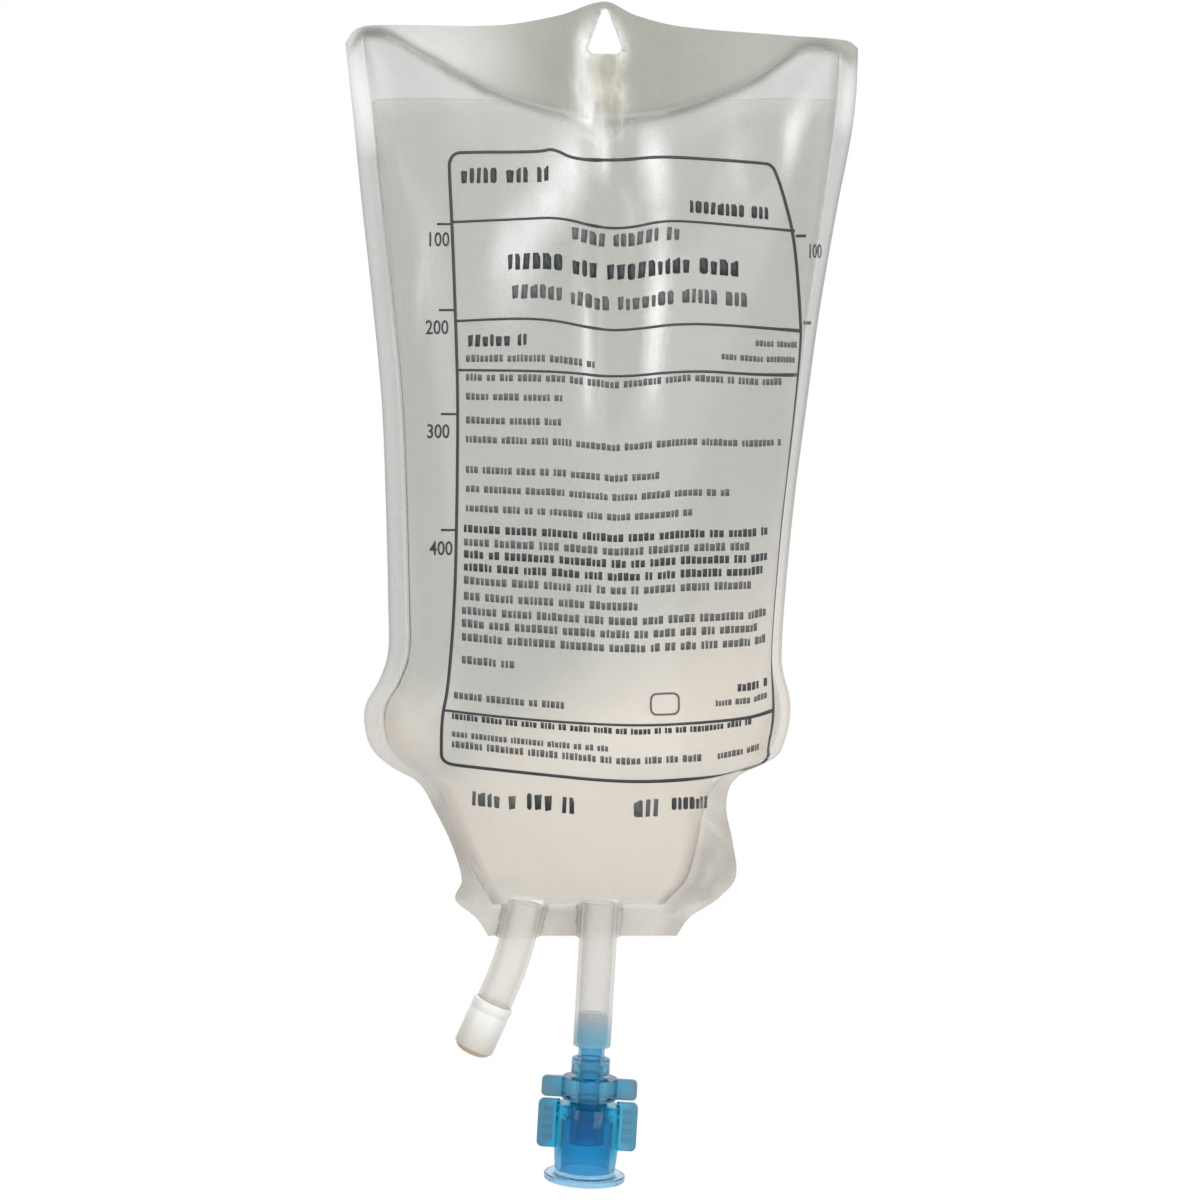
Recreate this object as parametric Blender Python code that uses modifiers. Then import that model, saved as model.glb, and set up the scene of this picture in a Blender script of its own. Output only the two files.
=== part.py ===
"""Clear infusion fluid bag: two welded films round a liquid, with two port tubes below.

The origin is where a hook bears at the top of the hanger hole. +Z is up and the front faces -Y.
"""

import bisect
import math

import bmesh
import bpy
from mathutils import Vector

MM = 0.001

# Film sheets, seen from the front. A drop is a length down from the hook
BAG_WIDTH = 126.8 * MM
BAG_DROP = 228.8 * MM
FILM_OFFSET = -1.2 * MM
FILM_THICKNESS = 0.4 * MM
FILM_GAP = 0.4 * MM
SIDE_WELD = 4.5 * MM
BOTTOM_WELD = 7.8 * MM
HANGER_DIP = 27.4 * MM
HANGER_EDGE_DROP = 4.0 * MM
FRONT_DEPTH = 26.5 * MM
BACK_DEPTH = 24.5 * MM
DEPTH_RISE = 38.0 * MM
FOOT_HEIGHT = 42.0 * MM
TWIST = math.radians(12.0)

# Pleat in the front film, pulled in below the hanger hole
PLEAT_DEPTH = 2.8 * MM
PLEAT_WIDTH = 5.5 * MM
PLEAT_X = 1.6 * MM
PLEAT_END_DROP = 110.0 * MM

# Hanger hole, a drop shape with its tip at the origin
HOLE_HEIGHT = 11.0 * MM
HOLE_SLOPE = math.radians(21.0)
HOLE_CORNER = 1.6 * MM
HOLE_TIP = 0.8 * MM

# Liquid
LIQUID_DROP = 22.3 * MM
LIQUID_CLEARANCE = 0.7 * MM
LIQUID_FOOT_SHARE = 0.6

# Port tubes
SEAT_GAP = 0.3 * MM
CHANNEL_CLEARANCE = 0.8 * MM
TUBE_ENTRY = 0.6 * MM
TUBE_WALL = 0.9 * MM
SUPPLY_TUBE_DIAMETER = 9.4 * MM
SUPPLY_TUBE_LENGTH = 35.4 * MM
SUPPLY_X = -1.2 * MM
SUPPLY_TILT = math.radians(3.3)
SITE_TUBE_DIAMETER = 9.0 * MM
SITE_X = -19.6 * MM
SITE_TILT = math.radians(14.0)
SITE_BEND = math.radians(10.5)
SITE_ROOT_LENGTH = 8.5 * MM
SITE_BEND_LENGTH = 14.0 * MM
SITE_END_LENGTH = 14.5 * MM

# Rubber injection site in its sleeve, at the end of the bent tube
SLEEVE_LENGTH = 12.5 * MM
SLEEVE_WALL = 0.7 * MM
SLEEVE_LIP = 1.2 * MM
SEPTUM_PLUG_LENGTH = 6.0 * MM
SEPTUM_DOME = 1.8 * MM

# Spike port. A depth is a length down the port's axis from the tube's lower end
STEM_LENGTH = 8.2 * MM
MEMBRANE = 0.6 * MM
BORE_DIAMETER = 5.2 * MM
NECK_DIAMETER = 6.6 * MM
LUG_RING_DEPTH = 3.0 * MM
LUG_RING_HEIGHT = 4.0 * MM
LUG_RING_DIAMETER = 10.6 * MM
LUG_COUNT = 4
LUG_WIDTH = 2.0 * MM
LUG_REACH = 0.5 * MM
HUB_DEPTH = 7.8 * MM
HUB_HEIGHT = 5.4 * MM
HUB_DIAMETER = 14.0 * MM
TAB_SPAN = 23.8 * MM
TAB_THICKNESS = 2.0 * MM
TAB_CORNER = 1.2 * MM
NOZZLE_LENGTH = 11.0 * MM
NOZZLE_DIAMETER = 9.2 * MM

# Twist-off cap
CAP_GAP = 0.5 * MM
CAP_HEIGHT = 18.2 * MM
CAP_DIAMETER = 16.0 * MM
CAP_FOOT_DIAMETER = 15.0 * MM
CAP_WALL = 1.4 * MM
CAP_COLLAR_HEIGHT = 2.4 * MM
CAP_FLOOR = 2.0 * MM
FLANGE_DIAMETER = 20.2 * MM
FLANGE_THICKNESS = 1.6 * MM
WING_SPAN = 24.8 * MM
WING_HEIGHT = 12.1 * MM
WING_THICKNESS = 2.0 * MM
WING_CORNER = 1.4 * MM
WING_RIM = 0.8 * MM
WING_RIM_HEIGHT = 0.4 * MM
RIB_COUNT = 4
RIB_WIDTH = 0.7 * MM
EDGE_ROUND = 0.3 * MM

# Grid and rounding steps
FLANGE_COLUMNS = 1
CHAMBER_COLUMNS = 24
HANGER_ROWS = 3
CHAMBER_ROWS = 26
FOOT_ROWS = 5
SKIRT_ROWS = 2
ROUND_STEPS = 24
TUBE_SIDES_RESOLUTION = 4

# Chamber edges and film flanges by share of the drop: chamber edge as a share of half the width,
# flange width as a multiple of the side weld, and how far the flange is folded back in degrees
LEFT_SIDE = (
    (0.00, -0.930, 1.0, 0.0),
    (0.09, -0.896, 1.0, 0.0),
    (0.20, -0.853, 1.0, 0.0),
    (0.31, -0.806, 1.0, 0.0),
    (0.42, -0.767, 1.0, 0.0),
    (0.53, -0.751, 1.0, 0.0),
    (0.64, -0.743, 1.0, 0.0),
    (0.69, -0.745, 1.0, 0.0),
    (0.72, -0.781, 1.0, 5.0),
    (0.745, -0.832, 1.0, 10.0),
    (0.77, -0.838, 1.0, 15.0),
    (0.795, -0.810, 1.0, 15.0),
    (0.815, -0.735, 1.0, 15.0),
    (0.83, -0.655, 0.8, 15.0),
    (0.86, -0.605, 0.6, 15.0),
    (0.90, -0.545, 0.5, 20.0),
    (0.94, -0.480, 0.9, 20.0),
    (0.962, -0.430, 2.0, 15.0),
    (0.98, -0.415, 1.0, 5.0),
    (1.00, -0.410, 0.4, 0.0),
)
RIGHT_SIDE = (
    (0.00, 0.930, 1.0, 0.0),
    (0.09, 0.923, 1.0, 0.0),
    (0.20, 0.877, 1.0, 38.0),
    (0.31, 0.828, 1.0, 55.0),
    (0.42, 0.782, 1.0, 60.0),
    (0.53, 0.732, 1.0, 60.0),
    (0.64, 0.695, 1.0, 60.0),
    (0.70, 0.683, 1.0, 60.0),
    (0.72, 0.692, 1.0, 60.0),
    (0.745, 0.716, 1.0, 60.0),
    (0.77, 0.716, 1.0, 60.0),
    (0.795, 0.685, 1.0, 55.0),
    (0.81, 0.640, 1.0, 45.0),
    (0.83, 0.480, 1.0, 35.0),
    (0.86, 0.415, 1.3, 30.0),
    (0.90, 0.385, 2.2, 30.0),
    (0.94, 0.340, 3.0, 25.0),
    (0.962, 0.265, 3.0, 20.0),
    (0.98, 0.215, 2.0, 10.0),
    (1.00, 0.200, 1.4, 0.0),
)
# Strength of the twist by share of the drop
TWIST_SHARE = ((0.12, 0.0), (0.25, 0.5), (0.42, 1.0), (0.74, 1.0), (0.86, 0.4), (0.95, 0.0))
# Hanger weld line: share of half the width, share of the dip
HANGER_WELD = (
    (-1.00, 0.42),
    (-0.93, 0.24),
    (-0.86, 0.24),
    (-0.70, 0.355),
    (-0.47, 0.65),
    (-0.235, 0.885),
    (0.05, 1.00),
    (0.235, 0.965),
    (0.47, 0.78),
    (0.70, 0.46),
    (0.86, 0.31),
    (0.93, 0.34),
    (1.00, 0.50),
)
# Top edge of the film: share of half the width, drop as a multiple of the hanger edge's drop
TOP_EDGE = (
    (-1.00, 2.10),
    (-0.96, 1.30),
    (-0.88, 1.00),
    (-0.40, 1.00),
    (-0.16, 0.40),
    (0.02, -0.45),
    (0.13, 0.35),
    (0.30, 1.05),
    (0.70, 1.60),
    (0.96, 1.95),
    (1.00, 2.40),
)

CLEAR_FILM = {"name": "clear_film", "color": (0.80, 0.83, 0.81, 0.35), "roughness": 0.18}
SALINE = {"name": "saline", "color": (0.84, 0.88, 0.87, 0.30), "roughness": 0.02}
CLEAR_TUBE = {"name": "clear_tube", "color": (0.84, 0.84, 0.80, 0.45), "roughness": 0.25}
BLUE_PORT = {"name": "blue_port", "color": (0.02, 0.25, 0.52, 1.0), "roughness": 0.30}
BLUE_CAP = {"name": "blue_cap", "color": (0.05, 0.36, 0.66, 1.0), "roughness": 0.32}
WHITE_SLEEVE = {"name": "white_sleeve", "color": (0.82, 0.81, 0.76, 1.0), "roughness": 0.40}
LATEX = {"name": "latex", "color": (0.74, 0.66, 0.52, 1.0), "roughness": 0.60}


def blend(low, high, share):
    """Straight blend from low to high."""
    return low + (high - low) * share


def through(points, place, value=1):
    """Reads a smooth curve through rows of points, at one place and from one column of values."""
    places = [point[0] for point in points]
    place = min(max(place, places[0]), places[-1])
    index = min(max(bisect.bisect_right(places, place) - 1, 0), len(points) - 2)

    def slope(at):
        first = points[max(at - 1, 0)]
        last = points[min(at + 1, len(points) - 1)]
        return (last[value] - first[value]) / (last[0] - first[0])

    start, end = points[index], points[index + 1]
    run = end[0] - start[0]
    t = (place - start[0]) / run
    rise = end[value] - start[value]
    bend = t * (1 - t) * (((1 - t) * slope(index) - t * slope(index + 1)) * run - (1 - 2 * t) * rise)
    return start[value] + rise * t + bend


def hanger_weld_z(share):
    """Height of the weld between hanger and chamber, at a share of half the width."""
    return -HANGER_DIP * through(HANGER_WELD, share)


def top_edge_z(share):
    """Height of the film's top edge."""
    return -HANGER_EDGE_DROP * through(TOP_EDGE, share)


def foot_z():
    """Height of the upper line of the bottom weld."""
    return BOTTOM_WELD - BAG_DROP


def along_axis(x, tilt, length):
    """Point this far down an axis that starts at x on the bottom weld's upper line."""
    return Vector((x - length * math.sin(tilt), 0.0, foot_z() - length * math.cos(tilt)))


def distance_to_axis(x, z, root_x, tilt):
    """Distance in the weld plane from a point to a port's axis."""
    return abs((x - root_x) * math.cos(tilt) - (z - foot_z()) * math.sin(tilt))


def channel_depth(x, z):
    """Half-round channels that the films keep round the two tubes."""
    depth = 0.0
    if z > foot_z() + TUBE_ENTRY + CHANNEL_CLEARANCE * 2:
        return depth
    ports = ((SUPPLY_X, SUPPLY_TILT, SUPPLY_TUBE_DIAMETER), (SITE_X, SITE_TILT, SITE_TUBE_DIAMETER))
    for root_x, tilt, diameter in ports:
        radius = diameter / 2 + CHANNEL_CLEARANCE
        away = distance_to_axis(x, z, root_x, tilt)
        depth = max(depth, math.sqrt(max(radius**2 - away**2, 0.0)))
    return depth


def pleat(x, z):
    """Depth that the pleat takes from the front film."""
    fade = min(max((z + PLEAT_END_DROP) / (PLEAT_END_DROP - HANGER_DIP), 0.0), 1.0)
    return PLEAT_DEPTH * fade * math.exp(-(((x - PLEAT_X) / PLEAT_WIDTH) ** 2))


class Section:
    """Chamber edges and film flanges at one height."""

    def __init__(self, z):
        drop = -z / BAG_DROP
        half = BAG_WIDTH / 2
        self.z = z
        self.left = half * through(LEFT_SIDE, drop, 1) + FILM_OFFSET
        self.right = half * through(RIGHT_SIDE, drop, 1) + FILM_OFFSET
        self.left_flange = SIDE_WELD * through(LEFT_SIDE, drop, 2)
        self.right_flange = SIDE_WELD * through(RIGHT_SIDE, drop, 2)
        self.left_fold = math.radians(through(LEFT_SIDE, drop, 3))
        self.right_fold = math.radians(through(RIGHT_SIDE, drop, 3))
        self.turn = math.tan(TWIST) * through(TWIST_SHARE, drop)

    def weld_y(self, x):
        """Depth of the weld plane at x."""
        return self.turn * (x - (self.left + self.right) / 2)

    def chamber_x(self, across, inset=0.0):
        """Place across the chamber, for a share from -1 at its left edge to 1 at its right."""
        middle = (self.left + self.right) / 2
        return middle + ((self.right - self.left) / 2 - inset) * across

    def flange_point(self, side, share):
        """Point on a flange, and the way its front face looks.

        The side is -1 or 1, and the share is 0 at the chamber and 1 at the film's edge.
        """
        edge = self.left if side < 0 else self.right
        width = self.left_flange if side < 0 else self.right_flange
        fold = self.left_fold if side < 0 else self.right_fold
        x = edge + side * share * width * math.cos(fold)
        y = self.weld_y(edge) + share * width * math.sin(fold)
        facing = fold * (1 + share) / 2
        return Vector((x, y, self.z)), Vector((side * math.sin(facing), -math.cos(facing), 0.0))


def chamber_share(across):
    """Share of half the bag's width at a share of half the chamber's width."""
    return (1 - 2 * SIDE_WELD / BAG_WIDTH) * across


def chamber_depth(x, z, across, front):
    """Distance from the weld plane to the front or back film of the filled chamber."""
    below = max(hanger_weld_z(chamber_share(across)) - z, 0.0)
    rise = (1 - math.exp(-below / DEPTH_RISE)) ** 0.85
    above = min(max((z - foot_z()) / FOOT_HEIGHT, 0.0), 1.0)
    foot = (1 - (1 - above) ** 2) ** 0.6
    depth = rise * foot * math.sqrt(max(1 - across**2, 0.0))
    if front:
        depth *= FRONT_DEPTH
        return depth - min(pleat(x, z), 0.6 * depth)
    return depth * BACK_DEPTH


def film_depth(x, z, across, front):
    """Distance from the weld plane to the inner face of the front or back film."""
    return max(chamber_depth(x, z, across, front), channel_depth(x, z), FILM_GAP / 2)


def column_across(column, evenness):
    """Share of half the chamber's width at a column: close together at the edges, or even."""
    even = 2 * column / CHAMBER_COLUMNS - 1
    return blend(math.sin(even * math.pi / 2), even, evenness)


def film_point(column, row, front):
    """Point of a film's inner face at a grid column and row."""
    inner = min(max(column - FLANGE_COLUMNS, 0), CHAMBER_COLUMNS)
    flange = abs(column - FLANGE_COLUMNS - inner) / FLANGE_COLUMNS
    side = -1 if inner == 0 else 1
    even_rows = HANGER_ROWS + CHAMBER_ROWS - FOOT_ROWS
    across = column_across(inner, min(max((row - even_rows) / FOOT_ROWS, 0.0), 1.0))
    share = blend(chamber_share(across), side, flange)
    weld_z = hanger_weld_z(share)
    if row <= HANGER_ROWS:
        z = blend(top_edge_z(share), weld_z, row / HANGER_ROWS)
    elif row <= HANGER_ROWS + CHAMBER_ROWS:
        z = blend(weld_z, foot_z(), (row - HANGER_ROWS) / CHAMBER_ROWS)
    else:
        z = blend(foot_z(), -BAG_DROP, (row - HANGER_ROWS - CHAMBER_ROWS) / SKIRT_ROWS)
    section = Section(z)
    if 0 < inner < CHAMBER_COLUMNS:
        x = section.chamber_x(across)
        middle = Vector((x, section.weld_y(x), z))
        facing = Vector((0.0, -1.0, 0.0))
    else:
        middle, facing = section.flange_point(side, flange)
    depth = film_depth(middle.x, z, across, front)
    return middle + facing * (depth if front else -depth)


def material(finish):
    """Makes a Principled material, or finds it if another part has made it."""
    found = bpy.data.materials.get(finish["name"])
    if found:
        return found
    made = bpy.data.materials.new(finish["name"])
    made.use_nodes = True
    shader = made.node_tree.nodes["Principled BSDF"]
    shader.inputs["Base Color"].default_value = (*finish["color"][:3], 1.0)
    shader.inputs["Alpha"].default_value = finish["color"][3]
    shader.inputs["Roughness"].default_value = finish["roughness"]
    shader.inputs["Metallic"].default_value = 0.0
    made.diffuse_color = finish["color"]
    return made


def collection(name):
    """Makes a collection under the scene."""
    made = bpy.data.collections.new(name)
    bpy.context.scene.collection.children.link(made)
    return made


def place(name, mesh, home, finish=None, parent=None):
    """Makes an object from a mesh, in a collection, with its material."""
    made = bpy.data.objects.new(name, mesh)
    home.objects.link(made)
    made.parent = parent
    if finish:
        mesh.materials.append(material(finish))
        mesh.shade_smooth()
        mesh.set_sharp_from_angle(angle=math.radians(40))
    return made


def as_cutter(cutter):
    """Marks an object as one that only cuts or joins."""
    cutter.hide_render = True
    cutter.display_type = "WIRE"
    return cutter


def combine(target, other, operation):
    """Adds an exact Boolean to a part."""
    boolean = target.modifiers.new(other.name, "BOOLEAN")
    boolean.object = other
    boolean.operation = operation
    boolean.solver = "EXACT"


def turned(name, profile, home, finish=None, parent=None):
    """Turns a profile of (radius, depth) points about the local Z axis."""
    mesh = bpy.data.meshes.new(name)
    outline = bmesh.new()
    verts = [outline.verts.new((radius, 0.0, -depth)) for radius, depth in profile]
    for start, end in zip(verts, verts[1:]):
        outline.edges.new((start, end))
    if profile[0][0] > 0.0:
        outline.edges.new((verts[-1], verts[0]))
    outline.to_mesh(mesh)
    outline.free()
    made = place(name, mesh, home, finish, parent)
    screw = made.modifiers.new("turn", "SCREW")
    screw.axis = "Z"
    screw.steps = ROUND_STEPS
    screw.render_steps = ROUND_STEPS
    screw.use_merge_vertices = True
    screw.merge_threshold = 0.00001
    return made


def mesh_from_curve(name, curve, home, finish=None, parent=None):
    """Makes a mesh object from a curve, with its caps welded on."""
    guide = bpy.data.objects.new(name + "_curve", curve)
    home.objects.link(guide)
    bpy.context.view_layer.update()
    mesh = bpy.data.meshes.new_from_object(guide.evaluated_get(bpy.context.evaluated_depsgraph_get()))
    mesh.name = name
    matrix = guide.matrix_world.copy()
    bpy.data.objects.remove(guide)
    bpy.data.curves.remove(curve)
    welded = bmesh.new()
    welded.from_mesh(mesh)
    bmesh.ops.remove_doubles(welded, verts=welded.verts, dist=0.000001)
    welded.to_mesh(mesh)
    welded.free()
    made = place(name, mesh, home, finish, parent)
    made.matrix_local = matrix
    return made


def rounded_outline(name, corners, thickness):
    """Flat curve through corner points, each with its own radius, lying in X and Y and extruded along Z."""
    points = []
    for index, (x, y, radius) in enumerate(corners):
        corner = Vector((x, y, 0.0))
        last = Vector((*corners[index - 1][:2], 0.0)) - corner
        following = Vector((*corners[(index + 1) % len(corners)][:2], 0.0)) - corner
        last.normalize()
        following.normalize()
        half = last.angle(following) / 2
        setback = radius / math.tan(half)
        centre = corner + (last + following).normalized() * radius / math.sin(half)
        start = corner + last * setback - centre
        end = corner + following * setback - centre
        for step in range(5):
            points.append(centre + start.slerp(end, step / 4).normalized() * radius)
    curve = bpy.data.curves.new(name, "CURVE")
    curve.dimensions = "2D"
    curve.fill_mode = "BOTH"
    curve.extrude = thickness / 2
    spline = curve.splines.new("POLY")
    spline.points.add(len(points) - 1)
    for target, point in zip(spline.points, points):
        target.co = (*point, 1.0)
    spline.use_cyclic_u = True
    return curve


def upright(made):
    """Stands a flat outline up, so that its Y becomes Z."""
    made.rotation_euler = (math.radians(90), 0.0, 0.0)
    return made


def film_sheet(name, front, home, hole):
    """One film sheet: a grid set to the film's inner face, thickened outwards and cut for the hook."""
    columns = CHAMBER_COLUMNS + 2 * FLANGE_COLUMNS
    rows = HANGER_ROWS + CHAMBER_ROWS + SKIRT_ROWS
    mesh = bpy.data.meshes.new(name)
    grid = bmesh.new()
    bmesh.ops.create_grid(grid, x_segments=columns, y_segments=rows, size=0.5)
    for vert in grid.verts:
        column = round((vert.co.x + 0.5) * columns)
        row = round((0.5 - vert.co.y) * rows)
        vert.co = film_point(column, row, front)
    bmesh.ops.triangulate(grid, faces=grid.faces, quad_method="SHORT_EDGE")
    grid.to_mesh(mesh)
    grid.free()
    if not front:
        mesh.flip_normals()
    made = place(name, mesh, home, CLEAR_FILM)
    shell = made.modifiers.new("thickness", "SOLIDIFY")
    shell.thickness = FILM_THICKNESS
    shell.offset = 1.0
    shell.use_even_offset = True
    combine(made, hole, "DIFFERENCE")
    return made


def hanger_hole(home):
    """Cutter for the hanger hole, a drop shape with its tip at the origin."""
    peak = HOLE_TIP * (1 / math.sin(HOLE_SLOPE) - 1)
    half = (HOLE_HEIGHT + peak) * math.tan(HOLE_SLOPE)
    corners = (
        (0.0, peak, HOLE_TIP),
        (-half, -HOLE_HEIGHT, HOLE_CORNER),
        (half, -HOLE_HEIGHT, HOLE_CORNER),
    )
    reach = 20 * FILM_THICKNESS + FILM_GAP
    curve = rounded_outline("hanger_hole", corners, reach)
    return as_cutter(upright(mesh_from_curve("hanger_hole", curve, home)))


def liquid_pair(column, row):
    """Front and back point of the liquid, set in from the films at a grid column and row."""
    upper = math.floor(row)
    front, back = (
        film_point(column, upper, side).lerp(film_point(column, upper + 1, side), row - upper)
        for side in (True, False)
    )
    middle = (front + back) / 2
    half = (front - back) / 2
    across = 2 * (column - FLANGE_COLUMNS) / CHAMBER_COLUMNS - 1
    middle.x -= LIQUID_CLEARANCE * math.sin(across * math.pi / 2)
    if abs(across) == 1 or half.length <= LIQUID_CLEARANCE:
        return middle, middle
    half *= 1 - LIQUID_CLEARANCE / half.length
    return middle + half, middle - half


def liquid(home, cutters):
    """Liquid that fills the chamber up to a flat surface, a little clear of both films."""
    mesh = bpy.data.meshes.new("saline")
    body = bmesh.new()
    first = HANGER_ROWS
    last = HANGER_ROWS + CHAMBER_ROWS - 1
    rows = [first + 0.1, *range(first + 1, last + 1), last + LIQUID_FOOT_SHARE]
    front, back = [], []
    for row in rows:
        columns = range(FLANGE_COLUMNS, FLANGE_COLUMNS + CHAMBER_COLUMNS + 1)
        pairs = [liquid_pair(column, row) for column in columns]
        front.append([body.verts.new(pair[0]) for pair in pairs])
        back.append([body.verts.new(pair[1]) for pair in pairs])
    loops = [*zip(front, front[1:]), *zip(back[1:], back), (back[0], front[0]), (front[-1], back[-1])]
    for upper, lower in loops:
        for corners in zip(upper, lower, lower[1:], upper[1:]):
            body.faces.new(corners)
    bmesh.ops.remove_doubles(body, verts=body.verts, dist=0.000002)
    bmesh.ops.recalc_face_normals(body, faces=body.faces)
    bmesh.ops.triangulate(body, faces=body.faces, quad_method="SHORT_EDGE")
    body.to_mesh(mesh)
    body.free()
    made = place("saline", mesh, home, SALINE)
    block = bmesh.new()
    bmesh.ops.create_cube(block, size=BAG_WIDTH * 1.5)
    bmesh.ops.translate(block, verts=block.verts, vec=(0.0, 0.0, BAG_WIDTH * 0.75 - LIQUID_DROP))
    block_mesh = bpy.data.meshes.new("air_space")
    block.to_mesh(block_mesh)
    block.free()
    combine(made, as_cutter(place("air_space", block_mesh, cutters)), "DIFFERENCE")
    return made


def tube(name, route, diameter, home, finish):
    """Open tube along a route, with its wall set inwards."""
    curve = bpy.data.curves.new(name, "CURVE")
    curve.dimensions = "3D"
    curve.bevel_depth = diameter / 2
    curve.bevel_resolution = TUBE_SIDES_RESOLUTION
    spline = curve.splines.new("POLY")
    spline.points.add(len(route) - 1)
    for target, point in zip(spline.points, route):
        target.co = (*point, 1.0)
    made = mesh_from_curve(name, curve, home, finish)
    shell = made.modifiers.new("wall", "SOLIDIFY")
    shell.thickness = TUBE_WALL
    shell.offset = -1.0
    shell.use_even_offset = True
    return made


def site_route():
    """Route of the bent tube, from inside the chamber to its lower end."""
    route = [along_axis(SITE_X, SITE_TILT, -TUBE_ENTRY)]
    point = along_axis(SITE_X, SITE_TILT, SITE_ROOT_LENGTH)
    route.append(point)
    steps = 5
    for step in range(steps):
        tilt = SITE_TILT + SITE_BEND * (step + 0.5) / steps
        length = SITE_BEND_LENGTH / steps
        point = point + Vector((-math.sin(tilt), 0.0, -math.cos(tilt))) * length
        route.append(point)
    tilt = SITE_TILT + SITE_BEND
    route.append(point + Vector((-math.sin(tilt), 0.0, -math.cos(tilt))) * SITE_END_LENGTH)
    return route


def axis_empty(name, point, tilt, home):
    """Empty at a tube's lower end, with its Z axis up the tube."""
    made = bpy.data.objects.new(name, None)
    home.objects.link(made)
    made.location = point
    made.rotation_euler = (0.0, tilt, 0.0)
    made.empty_display_size = SUPPLY_TUBE_DIAMETER
    return made


def injection_site(home, axis):
    """Sleeve over the bent tube's end, and the rubber plug seated in it."""
    outer = SITE_TUBE_DIAMETER / 2
    inside = outer + SEAT_GAP
    outside = inside + SLEEVE_WALL
    top = SLEEVE_LIP - SLEEVE_LENGTH
    sleeve = (
        (outside - EDGE_ROUND, top),
        (outside, top + EDGE_ROUND),
        (outside, SLEEVE_LIP - EDGE_ROUND),
        (outside - EDGE_ROUND, SLEEVE_LIP),
        (inside, SLEEVE_LIP),
        (inside, top),
    )
    turned("injection_site_sleeve", sleeve, home, WHITE_SLEEVE, axis)
    plug = outer - TUBE_WALL - SEAT_GAP
    head = inside - SEAT_GAP
    septum = [
        (0.0, -SEPTUM_PLUG_LENGTH),
        (plug - EDGE_ROUND, -SEPTUM_PLUG_LENGTH),
        (plug, EDGE_ROUND - SEPTUM_PLUG_LENGTH),
        (plug, SEAT_GAP),
        (head, SEAT_GAP),
    ]
    steps = 5
    for step in range(steps + 1):
        angle = math.pi / 2 * step / steps
        septum.append((head * math.cos(angle), SLEEVE_LIP + SEPTUM_DOME * math.sin(angle)))
    septum[-1] = (0.0, SLEEVE_LIP + SEPTUM_DOME)
    turned("injection_septum", septum, home, LATEX, axis)


def pair_of_plates(name, inner, outer, top, height, thickness, corner, home, parent):
    """Two flat plates, one each side of an axis, mirrored across it."""
    corners = (
        (inner, -top - height, 0.1 * corner),
        (outer, -top - height, corner),
        (outer, -top, corner),
        (inner, -top, 0.1 * corner),
    )
    plates = mesh_from_curve(name, rounded_outline(name, corners, thickness), home, parent=parent)
    upright(plates)
    mirror = plates.modifiers.new("both sides", "MIRROR")
    mirror.merge_threshold = 0.00001
    return as_cutter(plates)


def spike_port(home, cutters, axis):
    """Stem in the tube, neck, lug ring, hub with finger tabs, and the nozzle inside the cap."""
    stem = SUPPLY_TUBE_DIAMETER / 2 - TUBE_WALL - SEAT_GAP
    neck = NECK_DIAMETER / 2
    ring = LUG_RING_DIAMETER / 2 - LUG_REACH
    hub = HUB_DIAMETER / 2
    nozzle = NOZZLE_DIAMETER / 2
    bore = BORE_DIAMETER / 2
    ring_foot = LUG_RING_DEPTH + LUG_RING_HEIGHT
    hub_foot = HUB_DEPTH + HUB_HEIGHT
    tip = hub_foot + NOZZLE_LENGTH
    profile = (
        (0.0, -STEM_LENGTH),
        (stem - EDGE_ROUND, -STEM_LENGTH),
        (stem, EDGE_ROUND - STEM_LENGTH),
        (stem, -SEAT_GAP),
        (neck, 0.0),
        (neck, LUG_RING_DEPTH),
        (ring - EDGE_ROUND, LUG_RING_DEPTH),
        (ring, LUG_RING_DEPTH + EDGE_ROUND),
        (ring, ring_foot - EDGE_ROUND),
        (ring - EDGE_ROUND, ring_foot),
        (neck, ring_foot),
        (neck, HUB_DEPTH),
        (hub - EDGE_ROUND, HUB_DEPTH),
        (hub, HUB_DEPTH + EDGE_ROUND),
        (hub, hub_foot - EDGE_ROUND),
        (hub - EDGE_ROUND, hub_foot),
        (nozzle, hub_foot),
        (nozzle - EDGE_ROUND, tip),
        (bore, tip),
        (bore, MEMBRANE - STEM_LENGTH),
        (0.0, MEMBRANE - STEM_LENGTH),
    )
    port = turned("spike_port", profile, home, BLUE_PORT, axis)
    tabs = pair_of_plates(
        "finger_tabs",
        nozzle,
        TAB_SPAN / 2,
        HUB_DEPTH + EDGE_ROUND / 2,
        HUB_HEIGHT - EDGE_ROUND,
        TAB_THICKNESS,
        TAB_CORNER,
        cutters,
        axis,
    )
    combine(port, tabs, "UNION")
    for index in range(LUG_COUNT):
        angle = 2 * math.pi * (index + 0.5) / LUG_COUNT
        lug = bmesh.new()
        bmesh.ops.create_cube(lug, size=1.0)
        inner = (neck + ring) / 2
        outer = ring + LUG_REACH
        bmesh.ops.scale(lug, verts=lug.verts, vec=(outer - inner, LUG_WIDTH, LUG_RING_HEIGHT / 2))
        bmesh.ops.translate(
            lug,
            verts=lug.verts,
            vec=((outer + inner) / 2, 0.0, -LUG_RING_DEPTH - LUG_RING_HEIGHT / 2),
        )
        mesh = bpy.data.meshes.new("lug")
        lug.to_mesh(mesh)
        lug.free()
        made = place("lug_" + str(index + 1), mesh, cutters, parent=axis)
        made.rotation_euler.z = angle
        combine(port, as_cutter(made), "UNION")
    return port


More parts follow.
